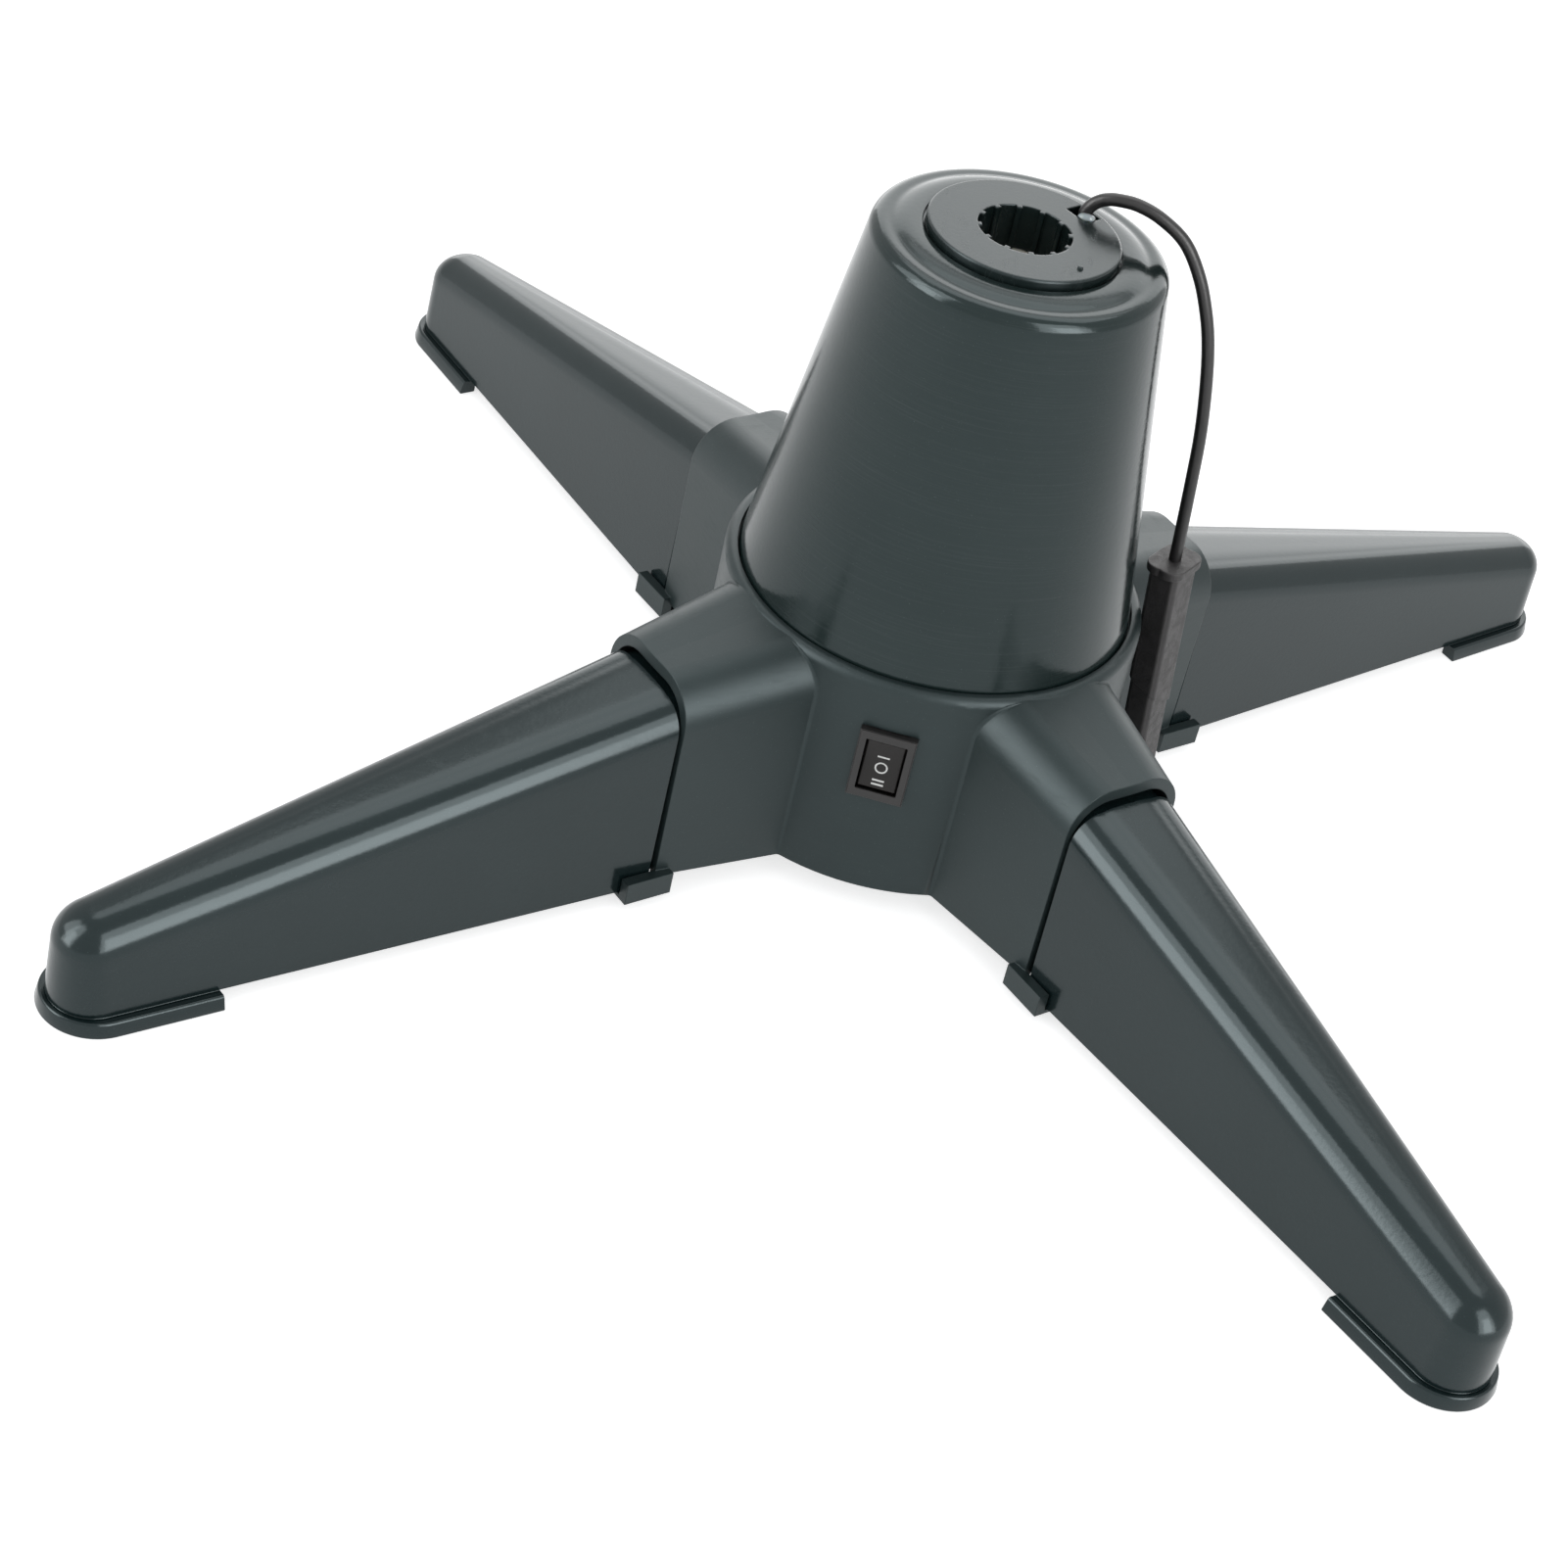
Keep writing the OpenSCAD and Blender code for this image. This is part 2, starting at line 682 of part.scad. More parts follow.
module leg() {
  tongue_end = arm_reach - tongue_length;
  inside = leg_start + leg_wall;
  rib_top = arm_mouth_top - arm_top_wall - fit_gap;
  color(green) difference() {
    union() {
      leg_skin(leg_start, 0, leg_bottom);
      linear_extrude(rim_h) rim_outline(rim_out);
      translate([tongue_end, 0, 0]) rotate([90, 0, 90]) linear_extrude(tongue_length + over)
        tongue_outline(tongue_half, tongue_top, tongue_corner, tongue_bottom);
      for (s = [-1, 1])
        box([tongue_end, s * tongue_rib_at - tongue_rib_w / 2, tongue_top - leg_wall],
            [arm_reach - clip_in, s * tongue_rib_at + tongue_rib_w / 2, rib_top]);
    }
    leg_skin(inside, leg_wall, -over);
    translate([tongue_end - over, 0, 0]) rotate([90, 0, 90])
      linear_extrude(tongue_length + fit_gap + leg_wall + 2 * over)
        tongue_outline(tongue_half - leg_wall, tongue_top - leg_wall, tongue_corner - leg_wall / 2, -over);
  }
}

module turntable_cap() {
  lug_angle = 360 / lug_count;
  color(dark_green) difference() {
    union() {
      translate([0, 0, disc_bottom]) rotate_extrude() rounded_outline(
        [[0, 0], [disc_r, 0], [disc_r, disc_t], [0, disc_t]], [[2, disc_t / 6]]);
      translate([0, 0, neck_bottom]) ring(neck_r, neck_r - neck_wall, neck_length + over);
      translate([0, 0, cap_boss_bottom]) cylinder(r = cap_boss_r, h = cap_boss_length + over);
      translate([nub_at[0], nub_at[1], disc_top - over]) cylinder(r = nub_r, h = nub_h + over);
    }
    translate([0, 0, cap_boss_bottom - over])
      cylinder(r = tube_r + screw_play, h = mouth_bottom - cap_boss_bottom + over);
    difference() {
      translate([0, 0, cap_boss_bottom]) cylinder(r = mouth_r, h = disc_top);
      for (i = [0:lug_count - 1]) rotate([0, 0, (i + 0.5) * lug_angle])
        box([mouth_r - lug_h, -lug_w / 2, 0], [mouth_r + over, lug_w / 2, 2 * disc_top]);
    }
    rotate([0, 0, slot_turn]) {
      box([slot_out - slot_w, -slot_length / 2, neck_bottom], [slot_out, slot_length / 2, disc_top + over]);
      box([slot_out - slot_w, -slot_length / 2, neck_bottom - over], [neck_r + over, slot_length / 2, disc_bottom]);
    }
    for (a = cap_screw_angles) rotate([0, 0, a]) translate([0, 0, cap_screw_z]) rotate([0, 90, 0])
      cylinder(r = screw_shank_r + screw_play, h = neck_r);
  }
}

module cap_screws() {
  color(steel) for (a = cap_screw_angles) rotate([0, 0, a])
    translate([cap_boss_r + cap_screw_head_h, 0, cap_screw_z]) rotate([0, 90, 0])
      screw(cap_screw_depth, head_h = cap_screw_head_h);
}

module spindle_tube() {
  color(nylon) difference() {
    union() {
      translate([0, 0, tube_bottom]) cylinder(r = tube_r, h = mouth_bottom - fit_gap - tube_bottom);
      translate([0, 0, pivot_bottom]) cylinder(r = pivot_r, h = pivot_length + over);
    }
    translate([0, 0, pole_stop]) cylinder(r = pole_r, h = disc_top);
    for (a = cap_screw_angles) rotate([0, 0, a]) translate([0, 0, cap_screw_z]) rotate([0, 90, 0])
      translate([0, 0, tube_r - tube_wall / 2 - screw_play])
        cylinder(r = screw_shank_r + screw_play, h = neck_r);
  }
}

// Angle in degrees that an involute of base radius rb has turned through at radius r
function roll(rb, r) = sqrt(max((r / rb) * (r / rb) - 1, 0)) * 180 / PI;
function involute_angle(rb, r) = roll(rb, r) - atan(roll(rb, r) * PI / 180);

// One gear outline with involute flanks; a tooth stands on the +X axis
function flank(teeth, side) =
  let (pitch = gear_module * teeth / 2, rb = pitch * cos(pressure_angle),
       low = pitch - 1.25 * gear_module, tip = pitch + gear_module, start = max(low, rb),
       half = 90 / teeth - backlash / 4 / pitch * 180 / PI,
       base = half + involute_angle(rb, pitch))
  concat([polar(low, side * (base - involute_angle(rb, start)))],
         [for (i = [0:flank_steps]) let (r = start + (tip - start) * i / flank_steps)
           polar(r, side * (base - involute_angle(rb, r)))]);
function turned(points, a) = [for (p = points) [p[0] * cos(a) - p[1] * sin(a), p[0] * sin(a) + p[1] * cos(a)]];
function flipped(points) = [for (i = [len(points) - 1:-1:0]) points[i]];
function gear_outline(teeth) =
  [for (t = [0:teeth - 1]) each turned(concat(flank(teeth, -1), flipped(flank(teeth, 1))), t * 360 / teeth)];

module driven_gear() {
  color(nylon) translate([0, 0, gear_z]) difference() {
    union() {
      linear_extrude(gear_face) rotate([0, 0, gear_teeth % 2 == 0 ? 0 : 180 / gear_teeth])
        polygon(gear_outline(gear_teeth));
      cylinder(r = tube_r + gear_hub_wall, h = gear_face + gear_hub_h);
    }
    translate([0, 0, -over]) cylinder(r = tube_r + screw_play, h = gear_face + gear_hub_h + 2 * over);
  }
}

module motor_pinion() {
  color(nylon) translate([-motor_at, 0, pinion_z]) difference() {
    linear_extrude(pinion_face) rotate([0, 0, 180 / pinion_teeth]) polygon(gear_outline(pinion_teeth));
    translate([0, 0, -over]) cylinder(r = shaft_r + screw_play, h = pinion_face + 2 * over);
  }
}

module motor_shaft() {
  color(steel) translate([-motor_at, 0, motor_top - shaft_in_motor])
    cylinder(r = shaft_r, h = shaft_top - motor_top + shaft_in_motor);
}

module motor_body() {
  color(steel) translate([-motor_at, 0, 0]) difference() {
    union() {
      translate([0, 0, motor_bottom]) cylinder(r = motor_r, h = motor_length);
      translate([0, 0, motor_top]) cylinder(r = motor_nose_r, h = motor_nose_h);
      translate([0, 0, motor_top]) linear_extrude(motor_lid_t) {
        circle(motor_r);
        for (s = [-1, 1]) translate([0, s * ear_reach]) circle(ear_r);
        translate([-ear_r, -ear_reach]) square([2 * ear_r, 2 * ear_reach]);
      }
    }
    translate([0, 0, motor_top - shaft_in_motor - fit_gap])
      cylinder(r = shaft_r + run_gap, h = motor_length + motor_nose_h);
    for (s = [-1, 1]) translate([0, s * ear_reach, 0]) cylinder(r = screw_shank_r + screw_play, h = hub_top);
  }
}

module motor_screws() {
  color(steel) for (s = [-1, 1])
    translate([-motor_at, s * ear_reach, motor_top + motor_lid_t + screw_head_h])
      screw(motor_screw_length - over);
}

module upper_bush() {
  color(nylon) translate([0, 0, neck_bottom]) ring(bush_outer_r, bush_inner_r, bush_top - neck_bottom);
}

module lower_bush() {
  color(nylon) difference() {
    union() {
      translate([0, 0, thrust_bottom]) cylinder(r = thrust_r, h = thrust_t);
      translate([0, 0, pivot_bottom]) cylinder(r = lower_bush_r, h = thrust_bottom - pivot_bottom + slice);
    }
    translate([0, 0, pivot_bottom - over]) cylinder(r = pivot_r + run_gap, h = hub_top);
  }
}

module slip_ring_drum() {
  color(black) difference() {
    translate([0, 0, drum_z]) cylinder(r = drum_flange_r, h = drum_top - drum_z);
    translate([0, 0, drum_z - over]) cylinder(r = tube_r + screw_play, h = drum_top - drum_z + 2 * over);
    for (i = [0:ring_count - 1]) translate([0, 0, drum_z + drum_wall + i * drum_step])
      ring(drum_flange_r + over, ring_inner_r - screw_play, ring_w);
  }
}

module slip_rings() {
  color(brass) for (i = [0:ring_count - 1])
    translate([0, 0, drum_z + drum_wall + i * drum_step + screw_play])
      ring(ring_r, ring_inner_r, ring_w - 2 * screw_play);
}

// Places what belongs to each brush, in the middle of its ring, along -X
module at_brushes() {
  for (i = [0:ring_count - 1]) translate([0, 0, drum_z + drum_wall + i * drum_step + ring_w / 2]) children();
}

module brush_block() {
  hole = brush_w / 2 + screw_play;
  color(black) difference() {
    box([-brush_block_out, -brush_block_w / 2, drum_z], [-brush_block_in, brush_block_w / 2, drum_top]);
    at_brushes() box([-ring_r - brush_reach, -hole, -hole], [-drum_flange_r, hole, hole]);
  }
}

module brushes() {
  color("#3a3a3c") at_brushes()
    box([-ring_r - brush_reach, -brush_w / 2, -brush_w / 2], [-ring_r - screw_play, brush_w / 2, brush_w / 2]);
}

// Places what belongs to the rocker at its pivot, with -Y outwards
module at_rocker() {
  translate([0, -rocker_pivot_y, switch_z]) children();
}

module switch_body() {
  w = switch_body_w / 2;
  h = switch_body_h / 2;
  opening = rocker_w / 2 + fit_gap;
  color(black) difference() {
    union() {
      box([-bezel_w / 2, -bezel_front, switch_z - bezel_h / 2], [bezel_w / 2, -panel_front, switch_z + bezel_h / 2]);
      box([-w, -panel_front - bezel_t / 2, switch_z - h], [w, -panel_front + switch_body_depth, switch_z + h]);
    }
    at_rocker() rotate([0, 90, 0]) translate([0, 0, -opening]) cylinder(r = rocker_sweep_r, h = 2 * opening);
    at_rocker() rotate([0, 90, 0]) translate([0, 0, -opening - rocker_pin_length])
      cylinder(r = rocker_pin_r + run_gap, h = 2 * (opening + rocker_pin_length));
  }
}

module switch_rocker() {
  w = rocker_w / 2;
  color(black) at_rocker() {
    difference() {
      intersection() {
        rotate([0, 90, 0]) translate([0, 0, -w]) cylinder(r = rocker_r, h = rocker_w);
        box([-w, -rocker_face - rocker_hollow_depth, -rocker_r], [w, -rocker_back, rocker_r]);
      }
      translate([-w - over, -rocker_face - rocker_hollow_r, 0]) rotate([0, 90, 0])
        cylinder(r = rocker_hollow_r, h = rocker_w + 2 * over);
    }
    rotate([0, 90, 0]) translate([0, 0, -w - fit_gap - rocker_pin_length / 2])
      cylinder(r = rocker_pin_r, h = rocker_w + 2 * fit_gap + rocker_pin_length);
  }
}

module switch_terminals() {
  y = -panel_front + switch_body_depth;
  color(brass) for (i = [-1:1])
    box([-terminal_w / 2, y, switch_z + i * terminal_pitch - terminal_t / 2],
        [terminal_w / 2, y + terminal_length, switch_z + i * terminal_pitch + terminal_t / 2]);
}

module mains_gland() {
  color(black) translate([0, hub_inner_r - gland_nut_t, gland_z]) rotate([-90, 0, 0]) difference() {
    union() {
      cylinder(r = gland_collar_r, h = gland_nut_t + hub_wall + slice);
      cylinder(r = gland_flange_r, h = gland_nut_t - hub_wall / 3);
      translate([0, 0, gland_nut_t + hub_wall + fit_gap / 3]) cylinder(r = gland_flange_r, h = gland_flange_t);
      translate([0, 0, gland_nut_t + hub_wall]) cylinder(r1 = gland_collar_r, r2 = gland_nose_r, h = gland_outside);
    }
    translate([0, 0, -over]) cylinder(r = mains_lead_r, h = gland_nut_t + hub_wall + gland_outside + 2 * over);
  }
}

module lead_stub() {
  color(black) translate([lead_at[0], lead_at[1], drum_top])
    cylinder(r = lead_r, h = disc_top + stub_rise - drum_top);
}

// Smooth line through the route's points
function bend(a, b, c, d, t) =
  0.5 * (2 * b + (c - a) * t + (2 * a - 5 * b + 4 * c - d) * t * t + (3 * b - a - 3 * c + d) * t * t * t);
function along(points, s) =
  let (n = len(points) - 1, i = min(floor(s), n - 1), t = s - i, last = points[n],
       before = i == 0 ? 2 * points[0] - points[1] : points[i - 1],
       after = i + 2 > n ? 2 * last - points[n - 1] : points[i + 2])
  bend(before, points[i], points[i + 1], after, t);
function heading(points, s) =
  let (n = len(points) - 1, d = 0.01)
  unit(along(points, min(s + d, n)) - along(points, max(s - d, 0)));

// A tube of that radius along the smooth line, one ring per step; its end faces look along first_dir and last_dir
module swept_tube(points, radius, sides, steps, first_dir, last_dir) {
  n = len(points) - 1;
  across = [0, 1, 0];
  rings = [for (i = [0:steps]) let (s = n * i / steps, c = along(points, s),
             t = i == 0 ? first_dir : i == steps ? last_dir : heading(points, s),
             u = unit(cross(across, t)), v = cross(t, u))
             for (k = [0:sides - 1]) c + radius * (cos(k * 360 / sides) * u + sin(k * 360 / sides) * v)];
  walls = [for (i = [0:steps - 1]) for (k = [0:sides - 1])
             let (a = i * sides + k, b = i * sides + (k + 1) % sides)
             each [[a, b, b + sides], [a, b + sides, a + sides]]];
  first = [for (k = [1:sides - 2]) [0, k + 1, k]];
  base = steps * sides;
  last = [for (k = [1:sides - 2]) [base, base + k, base + k + 1]];
  polyhedron(rings, [for (f = concat(walls, first, last)) [f[0], f[2], f[1]]]);
}

route_span = norm(lead_route[len(lead_route) - 1] - lead_route[0]);

module flex_lead() {
  color(black) swept_tube(lead_route, lead_r, lead_sides,
    ceil(route_span / (lead_d * lead_ring_gap_shares)) + lead_extra_rings,
    [0, 0, 1], [sin(socket_lean), 0, -cos(socket_lean)]);
}

// Places what belongs to the in-line socket: its flange's top at the origin, its axis down
module at_socket() {
  translate(socket_top) rotate([0, -socket_lean, 0]) mirror([0, 0, 1]) children();
}

// The grip's outline: a bar with chamfered edges, grown all round
module socket_outline(grow) {
  w = socket_w / 2 + grow;
  d = socket_d / 2 + grow;
  c = socket_chamfer;
  polygon([[w, d - c], [w - c, d], [c - w, d], [-w, d - c], [-w, c - d], [c - w, -d], [w - c, -d], [w, c - d]]);
}

// The flange: two long lobes side by side, with a dip between them
module flange_outline() {
  lobe_x = socket_w / 2 + socket_lip - lobe_r;
  lobe_y = socket_d / 2 - lobe_r;
  for (x = [-lobe_x, lobe_x]) {
    for (y = [-lobe_y, lobe_y]) translate([x, y]) circle(lobe_r);
    translate([x - lobe_r, -lobe_y]) square([2 * lobe_r, 2 * lobe_y]);
  }
}

module lead_socket() {
  color(black) at_socket() rotate([0, 0, -socket_turn]) difference() {
    union() {
      linear_extrude(flange_t) flange_outline();
      linear_extrude(grip_length) socket_outline(0);
      translate([0, 0, grip_length]) linear_extrude(collar_length) socket_outline(collar_out);
      translate([0, 0, grip_length]) linear_extrude(socket_length - grip_length) socket_outline(-nose_in);
    }
    for (s = [-1, 1]) translate([0, s * contact_at, socket_length - contact_length])
      cylinder(r = contact_r + screw_play, h = contact_length + over);
  }
}

module lead_socket_contacts() {
  color(brass) at_socket() rotate([0, 0, -socket_turn])
    for (s = [-1, 1]) translate([0, s * contact_at, socket_length - contact_length])
      ring(contact_r, contact_r / 2, contact_length - over);
}

hub_housing();
bottom_cover();
bottom_cover_screws();
cone_housing();
cone_screws();
rotate([0, 0, leg_angles[0]]) leg();  // leg_front_left
rotate([0, 0, leg_angles[1]]) leg();  // leg_front_right
rotate([0, 0, leg_angles[2]]) leg();  // leg_rear_right
rotate([0, 0, leg_angles[3]]) leg();  // leg_rear_left
turntable_cap();
cap_screws();
spindle_tube();
driven_gear();
upper_bush();
lower_bush();
motor_body();
motor_screws();
motor_shaft();
motor_pinion();
slip_ring_drum();
slip_rings();
brush_block();
brushes();
switch_body();
switch_rocker();
switch_terminals();
mains_gland();
lead_stub();
flex_lead();
lead_socket();
lead_socket_contacts();
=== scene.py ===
"""Looks of the rotating tree stand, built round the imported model.

Metres, +Z up, origin on the floor under the turntable, the switch faces -Y.
Lengths are written in millimetres and multiplied by MM, as in the part's source.
"""

import math

import bmesh
import bpy
from mathutils import Matrix, Vector, noise


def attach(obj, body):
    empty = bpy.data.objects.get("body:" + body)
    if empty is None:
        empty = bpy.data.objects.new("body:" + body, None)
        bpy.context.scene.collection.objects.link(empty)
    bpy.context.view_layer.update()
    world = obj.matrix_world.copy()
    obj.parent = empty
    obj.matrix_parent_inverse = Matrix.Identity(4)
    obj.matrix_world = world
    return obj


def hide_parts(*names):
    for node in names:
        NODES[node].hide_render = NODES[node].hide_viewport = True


MM = 0.001
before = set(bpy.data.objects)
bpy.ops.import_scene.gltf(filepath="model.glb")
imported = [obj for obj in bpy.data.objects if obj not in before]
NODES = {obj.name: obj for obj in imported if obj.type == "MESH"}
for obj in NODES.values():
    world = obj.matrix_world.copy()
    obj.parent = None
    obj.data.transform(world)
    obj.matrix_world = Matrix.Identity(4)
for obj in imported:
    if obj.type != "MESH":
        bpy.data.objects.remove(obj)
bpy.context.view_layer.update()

# ---------------------------------------------------------------- sizes shared with the part's source (mm)
HUB_R, HUB_BOTTOM = 56.5, 7.5
ARM_REACH, ARM_MOUTH_HALF, ARM_ROOT_HALF = 88.0, 17.9, 21.8
ARM_MOUTH_TOP, ARM_ROOT_TOP, ARM_CORNER = 66.3, 71.4, 12.0
LEG_ANGLES = {"leg_front_left": 225, "leg_front_right": 315, "leg_rear_right": 45, "leg_rear_left": 135}
FOOT_REACH, RIM_H, RIM_LENGTH, RIM_OUT = 250.0, 4.3, 41.0, 3.2
LEG_START, SEAM_OPEN, LEG_WALL = 88.3, 0.9, 2.0
TIP_U, TIP_SHIFT = 237.0, 0.9
# a leg's section at the arm and at the tip: half width below, half width above, top, corner radius
LEG_ROOT = (17.3, 16.88, 60.2, 8.5)
LEG_TIP = (11.0, 10.0, 29.6, 8.8)
LEG_CROWN = 0.55               # how far the top bulges between its rounded edges, fading out at the tip
RIM_END_OUT = FOOT_REACH - TIP_U - LEG_TIP[0]   # the rim is narrower round the tip
TIP_FALL = 0.19                # the top goes on falling round the tip, about as steeply as along the leg
LEG_EDGE, SEAM_FACE_IN = 0.4, (0.86, 0.955)     # the seam's bevel; its face's inner edge as a share of the outer
TONGUE_END, TONGUE_HALF, TONGUE_BOTTOM = 62.0, 15.4, 7.8
TONGUE_RIB_END, TONGUE_RIB_HALF, TONGUE_RIB_AT = 84.0, 0.8, 0.35 * TONGUE_HALF
CONE_SEAT, CONE_FOOT_R, CONE_TOP_R, CONE_EDGE = 69.8, 53.03, 37.87, 172.77
CONE_SHOULDER, CROWN_TOP, RECESS_R, RECESS_FLOOR, NECK_HOLE_R = 3.6, 173.9, 25.3, 172.8, 23.5
CONE_WALL, CONE_INSIDE_R = 2.5, 30.0
# the raised ring on the cone's top, from its foot at the shoulder to its flat: (radius, height)
CROWN_RISE = [
    (33.9, 172.74), (33.3, 172.70), (32.7, 172.78), (32.1, 172.98), (31.5, 173.22), (30.8, 173.45),
    (29.9, 173.66), (28.9, 173.81), (27.8, 173.88), (26.6, CROWN_TOP)]
DISC_TOP = 176.2
NUB_AT, NUB_R, NUB_SUNK, NUB_RISE = (15.6, -12.4), 0.75, 0.2, 0.66   # passes under the lead's end
GLUE_AT, GLUE_HALF = (13.9, 14.3, DISC_TOP + 0.15), (2.2, 1.35, 1.05)
SWITCH_Z, ROCKER_PIVOT_Y, ROCKER_FACE = 47.6, -53.459, 3.7
ROCKER_SUNK, ROCKER_HALF_W, ROCKER_HALF_H, ROCKER_HOLLOW_R = 0.45, 5.1, 7.5, 40.0
BEZEL_FRONT, FRAME_RISE, FRAME_OUTER, FRAME_INNER = -57.959, 0.3, (7.3, 10.3), (5.4, 7.95)
MARK_BARS, MARK_BAR_HALF = (2.55, -4.8, -6.0), (1.6, 0.25)
MARK_RING, MARK_RING_R = -0.9, (1.3, 1.72)
PRINT_LIFT, PRINT_DEPTH = 0.03, 0.1
SOCKET_LEAN, SOCKET_TURN = 5.0, 28.0
SOCKET_W, SOCKET_D, SOCKET_CHAMFER, SOCKET_LIP, SOCKET_LENGTH, SOCKET_STEP = 10.0, 15.0, 1.2, 0.6, 70.0, 0.4
SLEEVE_R, SLEEVE_GAP = 1.3, 5.6
GRIP_IN = (0.5, 2.0)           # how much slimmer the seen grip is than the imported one, per side
FLANGE, GRIP_SHARE, STEP_SLANT, NOSE_IN = 2.5, 0.6, 0.45, 1.6
LEAD_D, LEAD_IN_SOCKET = 3.4, 4.0
LEAD_ROUTE = [
    (13.2, 16.4, 176.9), (13.8, 16.4, 178.2), (14.7, 16.4, 179.5), (16.0, 16.5, 180.6), (17.4, 16.5, 181.4),
    (20.0, 16.5, 182.1), (25.5, 16.5, 182.2), (32.0, 16.0, 180.5), (39.3, 15.5, 176.1), (45.0, 15.0, 168.4),
    (49.2, 14.5, 159.5), (52.2, 14.2, 150.5), (54.8, 14.0, 138.7), (57.0, 13.8, 124.8), (58.4, 13.5, 110.0),
    (59.7, 13.0, 94.0), (60.2, 13.0, 87.0)]

# ---------------------------------------------------------------- camera, at the photograph's place
CAMERA_AT = (12.6966, -779.5273, 581.0329)
CAMERA_RIGHT = (0.964996645, 0.168553739, 0.200925638)
CAMERA_DOWN = (0.261815578, -0.574445545, -0.775541694)
CAMERA_FORWARD = (-0.015299615, 0.801000595, -0.598468018)
FOCAL_PX, CENTRE_PX, IMAGE_PX, SENSOR_MM = 3581.066, (890.856, 800.772), 1601.0, 36.0


def make_camera():
    data = bpy.data.cameras.new("camera")
    data.sensor_width = SENSOR_MM
    data.lens = FOCAL_PX / IMAGE_PX * SENSOR_MM
    data.shift_x = (IMAGE_PX / 2 - CENTRE_PX[0]) / IMAGE_PX
    data.shift_y = (CENTRE_PX[1] - IMAGE_PX / 2) / IMAGE_PX
    data.clip_start, data.clip_end = 0.01, 30.0
    camera = bpy.data.objects.new("camera", data)
    bpy.context.scene.collection.objects.link(camera)
    right, down, forward = Vector(CAMERA_RIGHT), Vector(CAMERA_DOWN), Vector(CAMERA_FORWARD)
    turn = Matrix((right, -down, -forward)).transposed().to_4x4()
    camera.matrix_world = Matrix.Translation(Vector(CAMERA_AT) * MM) @ turn
    bpy.context.scene.camera = camera


make_camera()


# ---------------------------------------------------------------- mesh helpers
def piece(name, verts, faces, material, body=None, sharp=35.0, weld=1e-7, transform=None):
    """A mesh object from points in millimetres; welded, normals outward, smooth but for sharp edges."""
    bm = bmesh.new()
    made = [bm.verts.new(Vector(v) * MM) for v in verts]
    for f in faces:
        if len(set(f)) > 2:
            try:
                bm.faces.new([made[i] for i in dict.fromkeys(f)])
            except ValueError:
                pass
    bmesh.ops.remove_doubles(bm, verts=bm.verts, dist=weld)
    bmesh.ops.dissolve_degenerate(bm, edges=bm.edges, dist=weld)
    bmesh.ops.recalc_face_normals(bm, faces=bm.faces)
    if transform is not None:
        bm.transform(transform)
    mesh = bpy.data.meshes.new(name)
    bm.to_mesh(mesh)
    bm.free()
    for p in mesh.polygons:
        p.use_smooth = True
    mesh.set_sharp_from_angle(angle=math.radians(sharp))
    mesh.materials.append(material)
    obj = bpy.data.objects.new(name, mesh)
    bpy.context.scene.collection.objects.link(obj)
    if body:
        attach(obj, body)
    return obj


def grid(rows, cols, base=0, wrap=False):
    """Faces of a grid of points laid out row by row."""
    faces = []
    for i in range(rows - 1):
        for j in range(cols if wrap else cols - 1):
            k = (j + 1) % cols
            row, next_row = base + i * cols, base + (i + 1) * cols
            faces.append((row + j, row + k, next_row + k, next_row + j))
    return faces


def arc(cx, cy, r, a0, a1, steps):
    """Points of an arc, angles in degrees."""
    return [(cx + r * math.cos(math.radians(a0 + (a1 - a0) * i / steps)),
             cy + r * math.sin(math.radians(a0 + (a1 - a0) * i / steps))) for i in range(steps + 1)]


def lathe(profile, segments):
    """Points and faces of a closed profile of (radius, height) turned round +Z."""
    n = len(profile)
    verts = [(r * math.cos(2 * math.pi * k / segments), r * math.sin(2 * math.pi * k / segments), z)
             for r, z in profile for k in range(segments)]
    faces = grid(n, segments, wrap=True)
    faces += [((n - 1) * segments + k, (n - 1) * segments + (k + 1) % segments, (k + 1) % segments, k)
              for k in range(segments)]
    return verts, faces


def extruded(outline, z0, z1):
    """Points and faces of an outline (x, y) between two heights, closed at both ends."""
    n = len(outline)
    verts = [(x, y, z) for z in (z0, z1) for x, y in outline]
    faces = grid(2, n, wrap=True)
    faces += [tuple(range(n)), tuple(range(n, 2 * n))]
    return verts, faces


class Parts:
    """Gathers the points and faces of several shells into one mesh."""

    def __init__(self):
        self.verts, self.faces = [], []

    def add(self, verts, faces):
        base = len(self.verts)
        self.verts += list(verts)
        self.faces += [tuple(base + i for i in f) for f in faces]


def bevelled(obj, width_mm, segments=3, angle=30.0):
    """Rounds the edges of a piece with a bevel modifier."""
    m = obj.modifiers.new("bevel", "BEVEL")
    m.width, m.segments, m.limit_method = width_mm * MM, segments, "ANGLE"
    m.angle_limit = math.radians(angle)
    m.harden_normals = True


